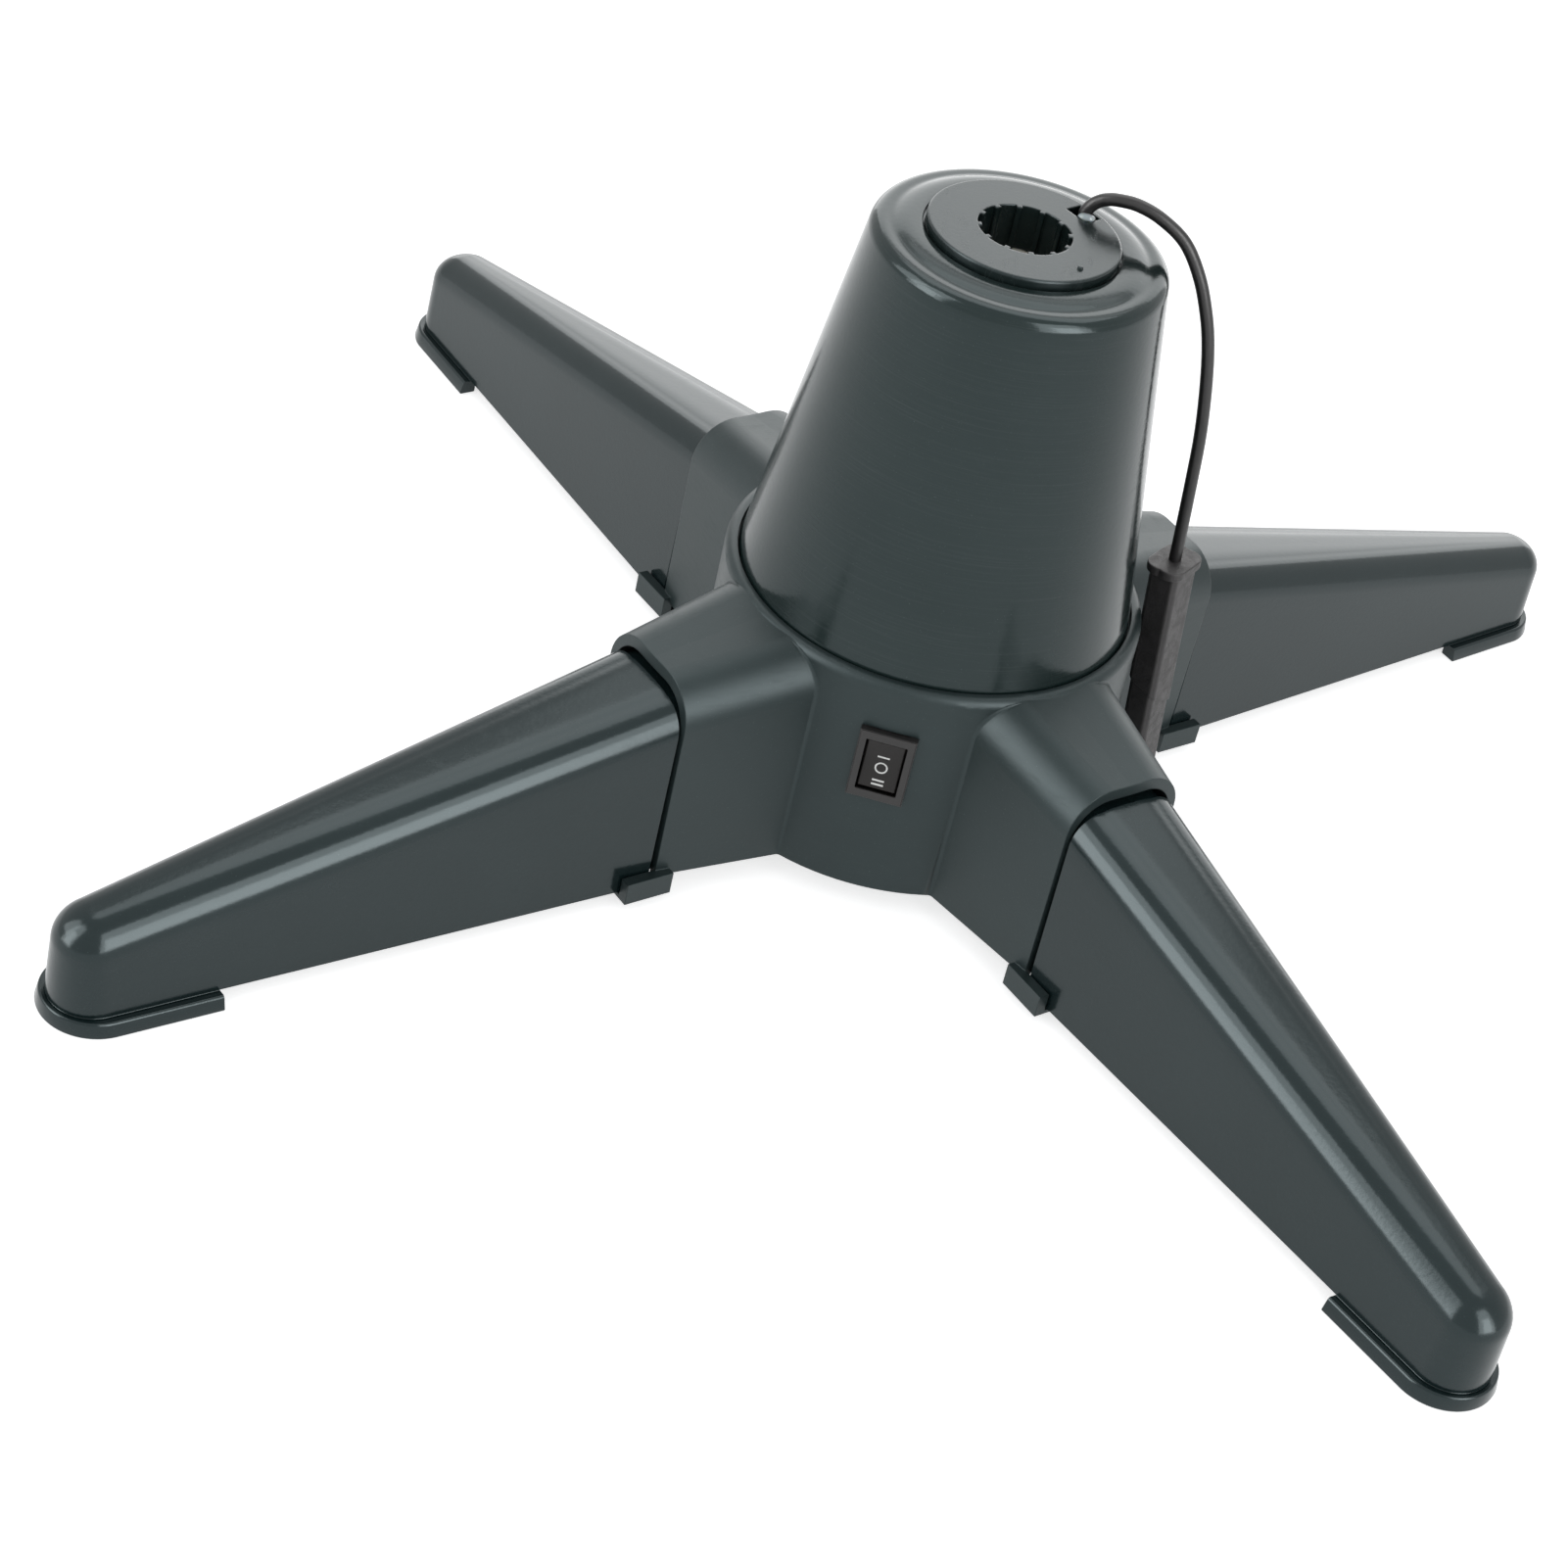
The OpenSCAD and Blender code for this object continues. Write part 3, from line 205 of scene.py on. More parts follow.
# ---------------------------------------------------------------- material helpers
class Shader:
    """A node material: add() makes a node, link() joins two sockets."""

    def __init__(self, name):
        self.material = bpy.data.materials.new(name)
        self.material.use_nodes = True
        self.tree = self.material.node_tree
        self.bsdf = self.tree.nodes["Principled BSDF"]

    def add(self, kind, inputs=None, **settings):
        node = self.tree.nodes.new(kind)
        for key, value in settings.items():
            setattr(node, key, value)
        for key, value in (inputs or {}).items():
            node.inputs[key].default_value = value
        return node

    def link(self, source, target):
        self.tree.links.new(source, target)

    def place(self, scale=(1.0, 1.0, 1.0)):
        """The piece's own coordinates in metres, stretched by scale."""
        coords = self.add("ShaderNodeTexCoord")
        mapping = self.add("ShaderNodeMapping", {"Scale": scale})
        self.link(coords.outputs["Object"], mapping.inputs["Vector"])
        return mapping.outputs["Vector"]

    def noise(self, scale, detail=3.0, roughness=0.5, stretch=(1.0, 1.0, 1.0), distortion=0.0):
        node = self.add("ShaderNodeTexNoise",
                        {"Scale": scale, "Detail": detail, "Roughness": roughness, "Distortion": distortion})
        self.link(self.place(stretch), node.inputs["Vector"])
        return node.outputs["Fac"]

    def ramp(self, source, low, high, low_at=0.3, high_at=0.7):
        """Maps a value to colours or numbers between two stops."""
        node = self.add("ShaderNodeValToRGB")
        for stop, at, colour in zip(node.color_ramp.elements, (low_at, high_at), (low, high)):
            stop.position = at
            stop.color = (*colour, 1.0) if isinstance(colour, (tuple, list)) else (colour, colour, colour, 1.0)
        self.link(source, node.inputs["Fac"])
        return node.outputs["Color"]

    def mix(self, factor, a, b):
        node = self.add("ShaderNodeMix", data_type="RGBA")
        for socket, value in ((node.inputs[0], factor), (node.inputs[6], a), (node.inputs[7], b)):
            if isinstance(value, bpy.types.NodeSocket):
                self.link(value, socket)
            elif isinstance(value, (int, float)):
                socket.default_value = value
            else:
                socket.default_value = (*value, 1.0)
        return node.outputs[2]

    def bump(self, height, distance_mm, strength=1.0, after=None):
        node = self.add("ShaderNodeBump", {"Strength": strength, "Distance": distance_mm * MM})
        self.link(height, node.inputs["Height"])
        if after is not None:
            self.link(after, node.inputs["Normal"])
        return node.outputs["Normal"]


COOL_GLOSS = (0.84, 0.97, 1.0)   # the pigment's blue-green cast in what the plastic mirrors
GREEN_GLOSS = 0.40             # specular level of the green plastic
WORN, DUST_LIFT = (0.05, 0.058, 0.058), 0.02


def green_plastic(name, base, lighter, rough_low, rough_high, grain_mm, scratch_stretch, scratch_mm, scratch_tint,
                  edge_mm=0.0):
    """Moulded dark green plastic: cloudy colour, uneven gloss, moulding grain, fine scratches and softened edges."""
    s = Shader(name)
    cloud = s.noise(28.0, 4.0, 0.55)
    colour = s.ramp(cloud, base, lighter, 0.35, 0.7)
    scratches = s.ramp(s.noise(30.0, 6.0, 0.72, scratch_stretch, 0.15), 0.0, 1.0, 0.52, 0.74)
    colour = s.mix(s.mix(scratch_tint, (0, 0, 0), scratches), colour, WORN)
    dust = s.ramp(s.noise(2600.0, 2.0, 0.6), 0.0, 1.0, 0.69, 0.76)
    colour = s.mix(dust, colour, tuple(2.2 * c + DUST_LIFT for c in lighter))
    s.link(colour, s.bsdf.inputs["Base Color"])
    rough = s.ramp(s.mix(0.5, cloud, scratches), rough_low, rough_high, 0.15, 0.75)
    s.link(rough, s.bsdf.inputs["Roughness"])
    rounded = None
    if edge_mm:
        rounded = s.add("ShaderNodeBevel", {"Radius": edge_mm * MM}, samples=6).outputs["Normal"]
    normal = s.bump(s.noise(1.0 / (grain_mm * MM), 2.0, 0.5), 0.02, after=rounded)
    normal = s.bump(scratches, scratch_mm, 0.6, normal)
    s.link(normal, s.bsdf.inputs["Normal"])
    s.bsdf.inputs["IOR"].default_value = 1.5
    s.bsdf.inputs["Specular IOR Level"].default_value = GREEN_GLOSS
    s.bsdf.inputs["Specular Tint"].default_value = (*COOL_GLOSS, 1.0)
    return s.material


def dark_plastic(name, base, lighter, rough_low, rough_high, grain_mm=0.5, grain_depth=0.02):
    """Black plastic with a slight cloud in its colour and a moulded grain."""
    s = Shader(name)
    cloud = s.noise(90.0, 4.0, 0.6)
    s.link(s.ramp(cloud, base, lighter, 0.3, 0.72), s.bsdf.inputs["Base Color"])
    s.link(s.ramp(s.noise(400.0, 3.0, 0.6), rough_low, rough_high, 0.35, 0.65), s.bsdf.inputs["Roughness"])
    s.link(s.bump(s.noise(1.0 / (grain_mm * MM), 3.0, 0.6), grain_depth), s.bsdf.inputs["Normal"])
    return s.material


def metal(name, base, darker, roughness, brushed=(1.0, 1.0, 40.0)):
    """Metal with fine turning or drawing lines."""
    s = Shader(name)
    lines = s.noise(160.0, 4.0, 0.6, brushed)
    s.link(s.ramp(lines, darker, base, 0.3, 0.65), s.bsdf.inputs["Base Color"])
    s.link(s.ramp(lines, roughness + 0.12, roughness, 0.3, 0.7), s.bsdf.inputs["Roughness"])
    s.link(s.bump(lines, 0.01), s.bsdf.inputs["Normal"])
    s.bsdf.inputs["Metallic"].default_value = 1.0
    return s.material


def pale_plastic(name, base, darker):
    """Unfilled nylon: cream, waxy, slightly translucent."""
    s = Shader(name)
    s.link(s.ramp(s.noise(60.0, 4.0, 0.6), darker, base, 0.3, 0.7), s.bsdf.inputs["Base Color"])
    s.link(s.ramp(s.noise(300.0, 3.0, 0.6), 0.35, 0.5), s.bsdf.inputs["Roughness"])
    s.link(s.bump(s.noise(900.0, 2.0, 0.5), 0.015), s.bsdf.inputs["Normal"])
    s.bsdf.inputs["Subsurface Weight"].default_value = 0.1
    s.bsdf.inputs["Subsurface Radius"].default_value = (0.002, 0.0018, 0.0015)
    return s.material


AROUND = (1.0, 1.0, 85.0)      # scratches that run round the stand
ALONG_FLOOR = (5.0, 5.0, 30.0)
ACROSS_DISC = (8.0, 2.0, 2.0)
GLOSS_GREEN = green_plastic("gloss_green", (0.006, 0.0135, 0.0140), (0.009, 0.0175, 0.0185), 0.15, 0.23, 1.2,
                            ALONG_FLOOR, 0.002, 0.05)
CONE_GREEN = green_plastic("cone_green", (0.007, 0.0158, 0.0150), (0.011, 0.0205, 0.0198), 0.11, 0.24, 1.4,
                           AROUND, 0.004, 0.30)
SATIN_GREEN = green_plastic("satin_green", (0.012, 0.0200, 0.0202), (0.016, 0.0255, 0.0260), 0.38, 0.50, 0.9,
                            ALONG_FLOOR, 0.002, 0.10, 0.45)
DISC_GREEN = green_plastic("disc_green", (0.007, 0.0135, 0.0130), (0.011, 0.0180, 0.0180), 0.20, 0.34, 0.8,
                           ACROSS_DISC, 0.003, 0.15, 0.7)
BLACK = dark_plastic("black_plastic", (0.009, 0.0085, 0.0085), (0.015, 0.0135, 0.0132), 0.30, 0.44)
ROCKER_BLACK = dark_plastic("rocker_black", (0.012, 0.0105, 0.0100), (0.018, 0.016, 0.0152), 0.30, 0.42, 1.5, 0.01)
GRIP_BLACK = dark_plastic("grip_black", (0.015, 0.0135, 0.0138), (0.030, 0.027, 0.0275), 0.40, 0.58, 0.35, 0.12)
ROCKER_BLACK.node_tree.nodes["Principled BSDF"].inputs["Specular IOR Level"].default_value = 0.25   # matt
CABLE = dark_plastic("black_cable", (0.008, 0.0075, 0.0075), (0.014, 0.0130, 0.0130), 0.30, 0.42, 0.8, 0.02)
NYLON = pale_plastic("nylon", (0.80, 0.78, 0.70), (0.70, 0.67, 0.58))
STEEL = metal("steel", (0.62, 0.63, 0.65), (0.42, 0.43, 0.45), 0.26)
MOTOR_STEEL = metal("motor_steel", (0.50, 0.51, 0.52), (0.36, 0.37, 0.38), 0.34)
BRASS = metal("brass", (0.78, 0.58, 0.26), (0.56, 0.40, 0.17), 0.24)
CARBON = dark_plastic("carbon", (0.020, 0.020, 0.021), (0.045, 0.045, 0.047), 0.5, 0.7)
WHITE_PRINT = dark_plastic("white_print", (0.66, 0.67, 0.66), (0.82, 0.82, 0.80), 0.4, 0.55, 0.3, 0.01)


def glue_material():
    """Clear hot glue, milky where it is thick."""
    s = Shader("hot_glue")
    s.link(s.ramp(s.noise(500.0, 3.0, 0.5), (0.55, 0.58, 0.58), (0.80, 0.82, 0.80)), s.bsdf.inputs["Base Color"])
    s.link(s.ramp(s.noise(700.0, 2.0, 0.5), 0.10, 0.25), s.bsdf.inputs["Roughness"])
    s.link(s.bump(s.noise(900.0, 2.0, 0.5), 0.08), s.bsdf.inputs["Normal"])
    s.bsdf.inputs["Transmission Weight"].default_value = 0.45
    s.bsdf.inputs["Subsurface Weight"].default_value = 0.3
    return s.material


GLUE = glue_material()


# ---------------------------------------------------------------- the free lead
def smooth_route(points, per_span):
    """Points of the smooth curve through the route, as the part's source draws it."""
    pts = [Vector(p) for p in points]
    pts = [2 * pts[0] - pts[1]] + pts + [2 * pts[-1] - pts[-2]]
    out = []
    for i in range(1, len(pts) - 2):
        a, b, c, d = pts[i - 1:i + 3]
        for k in range(per_span):
            t = k / per_span
            out.append(0.5 * (2 * b + (c - a) * t + (2 * a - 5 * b + 4 * c - d) * t * t
                              + (3 * b - a - 3 * c + d) * t * t * t))
    return out + [pts[-2]]


def tube(points, radius, sides, first, last):
    """Points and faces of a tube along points, with flat closed ends that look along first and last."""
    verts = []
    n = len(points)
    for i, c in enumerate(points):
        heading = first if i == 0 else last if i == n - 1 else (points[i + 1] - points[i - 1]).normalized()
        u = Vector((0, 1, 0)).cross(heading).normalized()
        v = heading.cross(u)
        verts += [tuple(c + radius * (math.cos(2 * math.pi * k / sides) * u + math.sin(2 * math.pi * k / sides) * v))
                  for k in range(sides)]
    faces = grid(n, sides, wrap=True)
    return verts, faces + [tuple(range(sides)), tuple((n - 1) * sides + k for k in range(sides))]


def socket_frame():
    """Turns the in-line socket's own axes (z down its length) into the row frame."""
    lean, turn = math.radians(SOCKET_LEAN), math.radians(-SOCKET_TURN)
    top = Vector(LEAD_ROUTE[-1]) * MM
    return (Matrix.Translation(top) @ Matrix.Rotation(-lean, 4, "Y") @ Matrix.Diagonal((1, 1, -1, 1))
            @ Matrix.Rotation(turn, 4, "Z"))


def make_lead():
    lean = math.radians(SOCKET_LEAN)
    last = Vector((math.sin(lean), 0, -math.cos(lean)))
    route = smooth_route(LEAD_ROUTE, 8)
    route.append(route[-1] + LEAD_IN_SOCKET * last)
    verts, faces = tube(route, LEAD_D / 2, 24, Vector((0, 0, 1)), last)
    lead = piece("lead", verts, faces, CABLE, weld=1e-8, sharp=50)
    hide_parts("flex_lead")
    length = sum((b - a).length for a, b in zip(route, route[1:])) * MM
    return lead, route, length


def rounded_bar(w, d, c):
    """The grip's outline: a bar with chamfered edges."""
    return [(w, d - c), (w - c, d), (c - w, d), (-w, d - c), (-w, c - d), (c - w, -d), (w - c, -d), (w, c - d)]


def two_lobes():
    """The flange's outline: two long lobes side by side with a dip between them."""
    r = SOCKET_W / 2 - 1.5 * SOCKET_LIP
    x = SOCKET_W / 2 + SOCKET_LIP - r
    y = SOCKET_D / 2 - r
    meet = math.degrees(math.acos(x / r))
    return (arc(x, y, r, 0, 180 - meet, 14) + arc(-x, y, r, meet, 180, 14)
            + arc(-x, -y, r, 180, 360 - meet, 14) + arc(x, -y, r, 180 + meet, 360, 14))


def make_socket():
    """The in-line socket: flange, chamfered grip and a nose that starts at a slanting step."""
    w, d = SOCKET_W / 2 - GRIP_IN[0], SOCKET_D / 2 - GRIP_IN[1]
    body = Parts()
    body.add(*extruded(two_lobes(), 0, FLANGE))
    verts, faces = extruded(rounded_bar(w, d, SOCKET_CHAMFER), FLANGE, GRIP_SHARE * SOCKET_LENGTH)
    body.add([(x, y, z + STEP_SLANT * (x + y) * (z > FLANGE)) for x, y, z in verts], faces)
    body.add(*extruded(rounded_bar(w - SOCKET_STEP, d - SOCKET_STEP, SOCKET_CHAMFER), 3.0, SOCKET_LENGTH - 2.0))
    body.add(*extruded(rounded_bar(w - NOSE_IN, d - NOSE_IN, SOCKET_CHAMFER), SOCKET_LENGTH - 4.0, SOCKET_LENGTH))
    obj = piece("inline_socket", body.verts, body.faces, GRIP_BLACK, transform=socket_frame(), weld=1e-9)
    bevelled(obj, 0.45, 3)
    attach(obj, "base")
    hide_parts("lead_socket")
    sleeves = Parts()
    for side in (-1, 1):
        circle = [(x, y + side * SLEEVE_GAP / 2) for x, y in arc(0, 0, SLEEVE_R, 0, 345, 23)]
        sleeves.add(*extruded(circle, SOCKET_LENGTH - 14.0, SOCKET_LENGTH + 0.1))
    contacts = piece("socket_sleeves", sleeves.verts, sleeves.faces, BRASS, transform=socket_frame(), weld=1e-9)
    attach(contacts, "base")
    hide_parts("lead_socket_contacts")
    return [obj, contacts]


lead, lead_route, lead_length = make_lead()
socket_pieces = make_socket()
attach(lead, "base")


# ---------------------------------------------------------------- the legs
def leg_half_section(share, inset=0.0, side=10, corner=14, flat=12):
    """Half of a leg's section, from its lower edge up the side and over to the middle: (v, z) points."""
    half, top_half, top, r = [a + share * (b - a) for a, b in zip(LEG_ROOT, LEG_TIP)]
    half, top_half, top, r = half - inset, top_half - inset, top - inset, r - inset / 2
    low = Vector((half, RIM_H))
    middle = Vector((top_half - r, top - r))
    away = low - middle
    start = math.atan2(away.y, away.x) + math.acos(r / away.length)
    touch = middle + r * Vector((math.cos(start), math.sin(start)))
    points = [tuple(low.lerp(touch, i / side)) for i in range(side)]
    points += arc(middle.x, middle.y, r, math.degrees(start), 90, corner)
    crown = LEG_CROWN * (1 - share)
    points += [(middle.x * (1 - i / flat), top + crown * (1 - (1 - i / flat) ** 4)) for i in range(1, flat + 1)]
    return points


def leg_skin(start, inset, along=28, round_tip=28, edge=0.0):
    """Grid of a leg's skin: one row per section point, one column per station from one side round the tip."""
    shares = [0.0] + [i / along for i in range(0 if edge else 1, along + 1)]
    span = TIP_U - LEG_START
    columns = []
    for k, t in enumerate(shares):
        columns.append((t, 0.0, edge if k == 0 else 0.0))
    stations = columns + [(1.0, math.pi * i / round_tip, 0.0) for i in range(1, round_tip)]
    stations += [(t, math.pi, e) for t, _, e in reversed(columns)]
    rows = len(leg_half_section(0.0))
    points = [[None] * len(stations) for _ in range(rows)]
    for j, (t, turn, e) in enumerate(stations):
        share = (start - LEG_START) / span * (1 - t) + t
        section = leg_half_section(share, inset + e)
        top = section[-1][1]
        for i, (v, z) in enumerate(section):
            rise = (z - RIM_H) / (top - RIM_H)
            u0 = start + SEAM_OPEN * (1 - rise) + (0.0 if e or not edge else edge)
            tip = TIP_U + TIP_SHIFT * rise
            u = u0 + (tip - u0) * t
            out = v * math.sin(turn)
            points[i][j] = (u + out, v * math.cos(turn), z - TIP_FALL * rise ** 2 * out)
    return points, rows, len(stations)


def rim_path(steps=36):
    """Middle line of the foot's rim, seen from above, with outward directions."""
    taper = (LEG_ROOT[0] - LEG_TIP[0]) / (TIP_U - LEG_START)
    end = FOOT_REACH - RIM_LENGTH
    wide = LEG_TIP[0] + taper * (TIP_U - end)
    path = [((end, wide), (0, 1)), ((0.5 * (end + TIP_U), 0.5 * (wide + LEG_TIP[0])), (0, 1))]
    for i in range(steps + 1):
        a = math.pi / 2 - math.pi * i / steps
        path.append(((TIP_U + LEG_TIP[0] * math.cos(a), LEG_TIP[0] * math.sin(a)), (math.cos(a), math.sin(a))))
    path += [((0.5 * (end + TIP_U), -0.5 * (wide + LEG_TIP[0])), (0, -1)), ((end, -wide), (0, -1))]
    return path


def rim_profile():
    """The foot's rim in section, a low bead with a sloping outside: (out from the leg's wall, height) points."""
    r, foot = 0.9, Vector((RIM_OUT - 0.05, 0.55))
    middle = Vector((1.5, RIM_H - 0.2 - r))
    away = foot - middle
    start = math.degrees(math.atan2(away.y, away.x) + math.acos(r / away.length))
    return ([(-LEG_WALL, RIM_H + 0.6), (-LEG_WALL, 0.3), (-LEG_WALL + 0.3, 0.0),
             (RIM_OUT - 0.45, 0.0), (RIM_OUT - 0.12, 0.15), tuple(foot)] + arc(middle.x, middle.y, r, start, 100, 10)
            + [(0.2, RIM_H - 0.35), (-0.15, RIM_H - 0.35), (-0.4, RIM_H - 0.1), (-0.6, RIM_H + 1.2)])


RIM_PROFILE = rim_profile()


def tongue_section(inset):
    """U section of the tongue inside the arm."""
    half, top, r = TONGUE_HALF - inset, LEG_ROOT[2] - 0.4 - inset, LEG_ROOT[3] - 1 - inset / 2
    return ([(half, TONGUE_BOTTOM)] + arc(half - r, top - r, r, 0, 90, 10)
            + arc(r - half, top - r, r, 90, 180, 10) + [(-half, TONGUE_BOTTOM)])


def make_leg(name, angle):
    """One leg: outer and inner skin, the bead round its foot and the tongue that goes into the arm."""
    parts = Parts()
    outer, rows, cols = leg_skin(LEG_START, 0.0, edge=LEG_EDGE)
    parts.add([p for row in outer for p in row], grid(rows, cols))
    inner, in_rows, in_cols = leg_skin(LEG_START + LEG_WALL, LEG_WALL)
    parts.add([p for row in inner for p in row], grid(in_rows, in_cols))
    # lower edge between the skins, and the thin end face at the seam
    parts.add(outer[0][1:cols - 1] + inner[0], grid(2, in_cols))
    end_out = [outer[i][0] for i in range(rows)] + [outer[i][cols - 1] for i in reversed(range(rows - 1))]
    end_in = [(x, y * SEAM_FACE_IN[0], RIM_H + (z - RIM_H) * SEAM_FACE_IN[1]) for x, y, z in end_out]
    parts.add(end_out + end_in, grid(2, len(end_out)))
    # rim
    path = rim_path()
    rim = []
    for (x, y), (nx, ny) in path:
        slim = 1 - (1 - RIM_END_OUT / RIM_OUT) * max(0.0, nx)
        for n, z in RIM_PROFILE:
            share = slim if n > 0 else 1
            rim.append((x + n * share * nx, y + n * share * ny, z))
    count = len(RIM_PROFILE)
    faces = grid(len(path), count, wrap=True)
    faces += [tuple(range(count)), tuple((len(path) - 1) * count + k for k in range(count))]
    parts.add(rim, faces)
    # tongue
    section = tongue_section(0.0)
    n = len(section)
    ring = section + tongue_section(LEG_WALL)[::-1]
    faces = grid(2, 2 * n, wrap=True)
    faces += [(i, i + 1, 2 * n - 2 - i, 2 * n - 1 - i) for i in range(n - 1)]
    faces += [(2 * n + i, 2 * n + i + 1, 4 * n - 2 - i, 4 * n - 1 - i) for i in range(n - 1)]
    parts.add([(u, v, z) for u in (TONGUE_END, LEG_START + LEG_WALL) for v, z in ring], faces)
    for s in (-1, 1):
        low, high = s * TONGUE_RIB_AT - TONGUE_RIB_HALF, s * TONGUE_RIB_AT + TONGUE_RIB_HALF
        outline = [(TONGUE_END, low), (TONGUE_RIB_END, low), (TONGUE_RIB_END, high), (TONGUE_END, high)]
        parts.add(*extruded(outline, LEG_ROOT[2] - 2.0, ARM_MOUTH_TOP - 3.6))
    obj = piece(name + "_shell", parts.verts, parts.faces, GLOSS_GREEN, name, sharp=40,
                transform=Matrix.Rotation(math.radians(angle), 4, "Z"))
    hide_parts(name)


for leg_name, leg_angle in LEG_ANGLES.items():
    make_leg(leg_name, leg_angle)


# ---------------------------------------------------------------- the cone housing
def make_cone():
    """The tapered housing: rounded shoulder, the raised ring on its top and the recess the disc turns in."""
    slope = math.degrees(math.atan2(CONE_FOOT_R - CONE_TOP_R, CONE_EDGE - CONE_SEAT))
    r = CONE_SHOULDER
    half = math.radians((90 - slope) / 2)
    setback = r * math.tan(half)
    middle = (CONE_TOP_R - setback, CONE_EDGE - r)
    outer = [(CONE_FOOT_R - 0.4, CONE_SEAT), (CONE_FOOT_R, CONE_SEAT + 0.4)]
    steps = 24
    touch = (middle[0] + r * math.cos(math.radians(slope)), middle[1] + r * math.sin(math.radians(slope)))
    outer += [(CONE_FOOT_R + (touch[0] - CONE_FOOT_R) * i / steps,
               CONE_SEAT + 0.4 + (touch[1] - CONE_SEAT - 0.4) * i / steps) for i in range(1, steps)]
    outer += arc(middle[0], middle[1], r, slope, 90, 12)
    outer += CROWN_RISE + arc(RECESS_R + 0.35, CROWN_TOP - 0.35, 0.35, 90, 180, 4)
    outer += [(RECESS_R, RECESS_FLOOR), (NECK_HOLE_R + 0.3, RECESS_FLOOR), (NECK_HOLE_R, RECESS_FLOOR - 0.3)]
    inner = [(NECK_HOLE_R, RECESS_FLOOR - CONE_WALL), (CONE_INSIDE_R, RECESS_FLOOR - CONE_WALL),
             (CONE_TOP_R - CONE_WALL - 0.4, CONE_EDGE - CONE_WALL - 1.8), (CONE_FOOT_R - CONE_WALL, CONE_SEAT)]
    verts, faces = lathe(outer + inner, 288)
    obj = piece("cone_shell", verts, faces, CONE_GREEN, "base", sharp=50)
    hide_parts("cone_housing")


make_cone()


# ---------------------------------------------------------------- fillets where the arms leave the hub wall
FILLET_R, FILLET_STRAIGHT = 1.6, 0.6      # radius, and the share of its run that goes straight up
FILLET_TURN, FILLET_FADE = 78.0, 20.0     # degrees it turns over the arm's top, and where it starts to fade


def fillet_strip(side, rows=44, cols=8):
    """Rolling-ball fillet between one arm's side and the hub wall, fading out over the arm's top."""
    run = ARM_REACH - HUB_R
    yaw = (ARM_ROOT_HALF - ARM_MOUTH_HALF) / run
    pitch = (ARM_ROOT_TOP - ARM_MOUTH_TOP) / run
    fade, fade_run = math.radians(FILLET_FADE), math.radians(FILLET_TURN - FILLET_FADE)
    straight = FILLET_STRAIGHT
    verts = []
    for i in range(rows + 1):
        q = i / rows
        turn = 0.0 if q <= straight else (q - straight) / (1 - straight) * math.radians(FILLET_TURN)
        ball = FILLET_R * max(0.03, 1 - max(0.0, (turn - fade) / fade_run) ** 1.5)
        u = HUB_R + ball
        for _ in range(6):
            half = ARM_MOUTH_HALF + (ARM_REACH - u) * yaw
            top = ARM_MOUTH_TOP + (ARM_REACH - u) * pitch
            v_mid, z_mid = half - ARM_CORNER, top - ARM_CORNER
            if q <= straight:
                v, z = half + ball, HUB_BOTTOM + (z_mid - HUB_BOTTOM) * q / straight
            else:
                v, z = v_mid + (ARM_CORNER + ball) * math.cos(turn), z_mid + (ARM_CORNER + ball) * math.sin(turn)
            u = math.sqrt(max((HUB_R + ball) ** 2 - v * v, 1.0))
        centre = Vector((u, v, z))
        to_hub = -Vector((u, v, 0)).normalized()
        to_arm = -Vector((0, math.cos(turn), math.sin(turn)))
        for k in range(cols + 1):
            p = centre + to_hub.slerp(to_arm, k / cols) * (ball + 0.03)
            verts.append((p.x, side * p.y, p.z))
    return verts, grid(rows + 1, cols + 1)


def make_fillets():
    parts = Parts()
    for angle in LEG_ANGLES.values():
        c, s = math.cos(math.radians(angle)), math.sin(math.radians(angle))
        for side in (-1, 1):
            verts, faces = fillet_strip(side)
            parts.add([(x * c - y * s, x * s + y * c, z) for x, y, z in verts], faces)
    obj = piece("arm_fillets", parts.verts, parts.faces, SATIN_GREEN, "base")


make_fillets()


# ---------------------------------------------------------------- the rocker, its frame and marks, nub and glue
def rocker_surface(x, up, lift):
    """A point at a lift from the rocker's hollow face, up its height from the pivot."""
    out = ROCKER_FACE - ROCKER_SUNK + ROCKER_HOLLOW_R - math.sqrt(ROCKER_HOLLOW_R ** 2 - up ** 2)
    return (x, ROCKER_PIVOT_Y - out - lift, SWITCH_Z + up)


def make_rocker():
    """The rocker with its softly hollow face and rounded edges."""
    rows, cols = 24, 10
    front = [rocker_surface(ROCKER_HALF_W * (2 * j / cols - 1), ROCKER_HALF_H * (2 * i / rows - 1), 0.0)
             for i in range(rows + 1) for j in range(cols + 1)]
    rear = [(x, ROCKER_PIVOT_Y + 2.0, z) for x, _, z in front]
    count = len(front)
    edge = (list(range(cols + 1)) + [i * (cols + 1) + cols for i in range(1, rows + 1)]
            + [rows * (cols + 1) + j for j in range(cols - 1, -1, -1)]
            + [i * (cols + 1) for i in range(rows - 1, 0, -1)])
    faces = grid(rows + 1, cols + 1) + grid(rows + 1, cols + 1, count)
    faces += [(a, b, count + b, count + a) for a, b in zip(edge, edge[1:] + edge[:1])]
    obj = piece("rocker_shell", front + rear, faces, ROCKER_BLACK, "rocker", weld=1e-9)
    bevelled(obj, 0.5, 4, 50)
    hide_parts("switch_rocker")


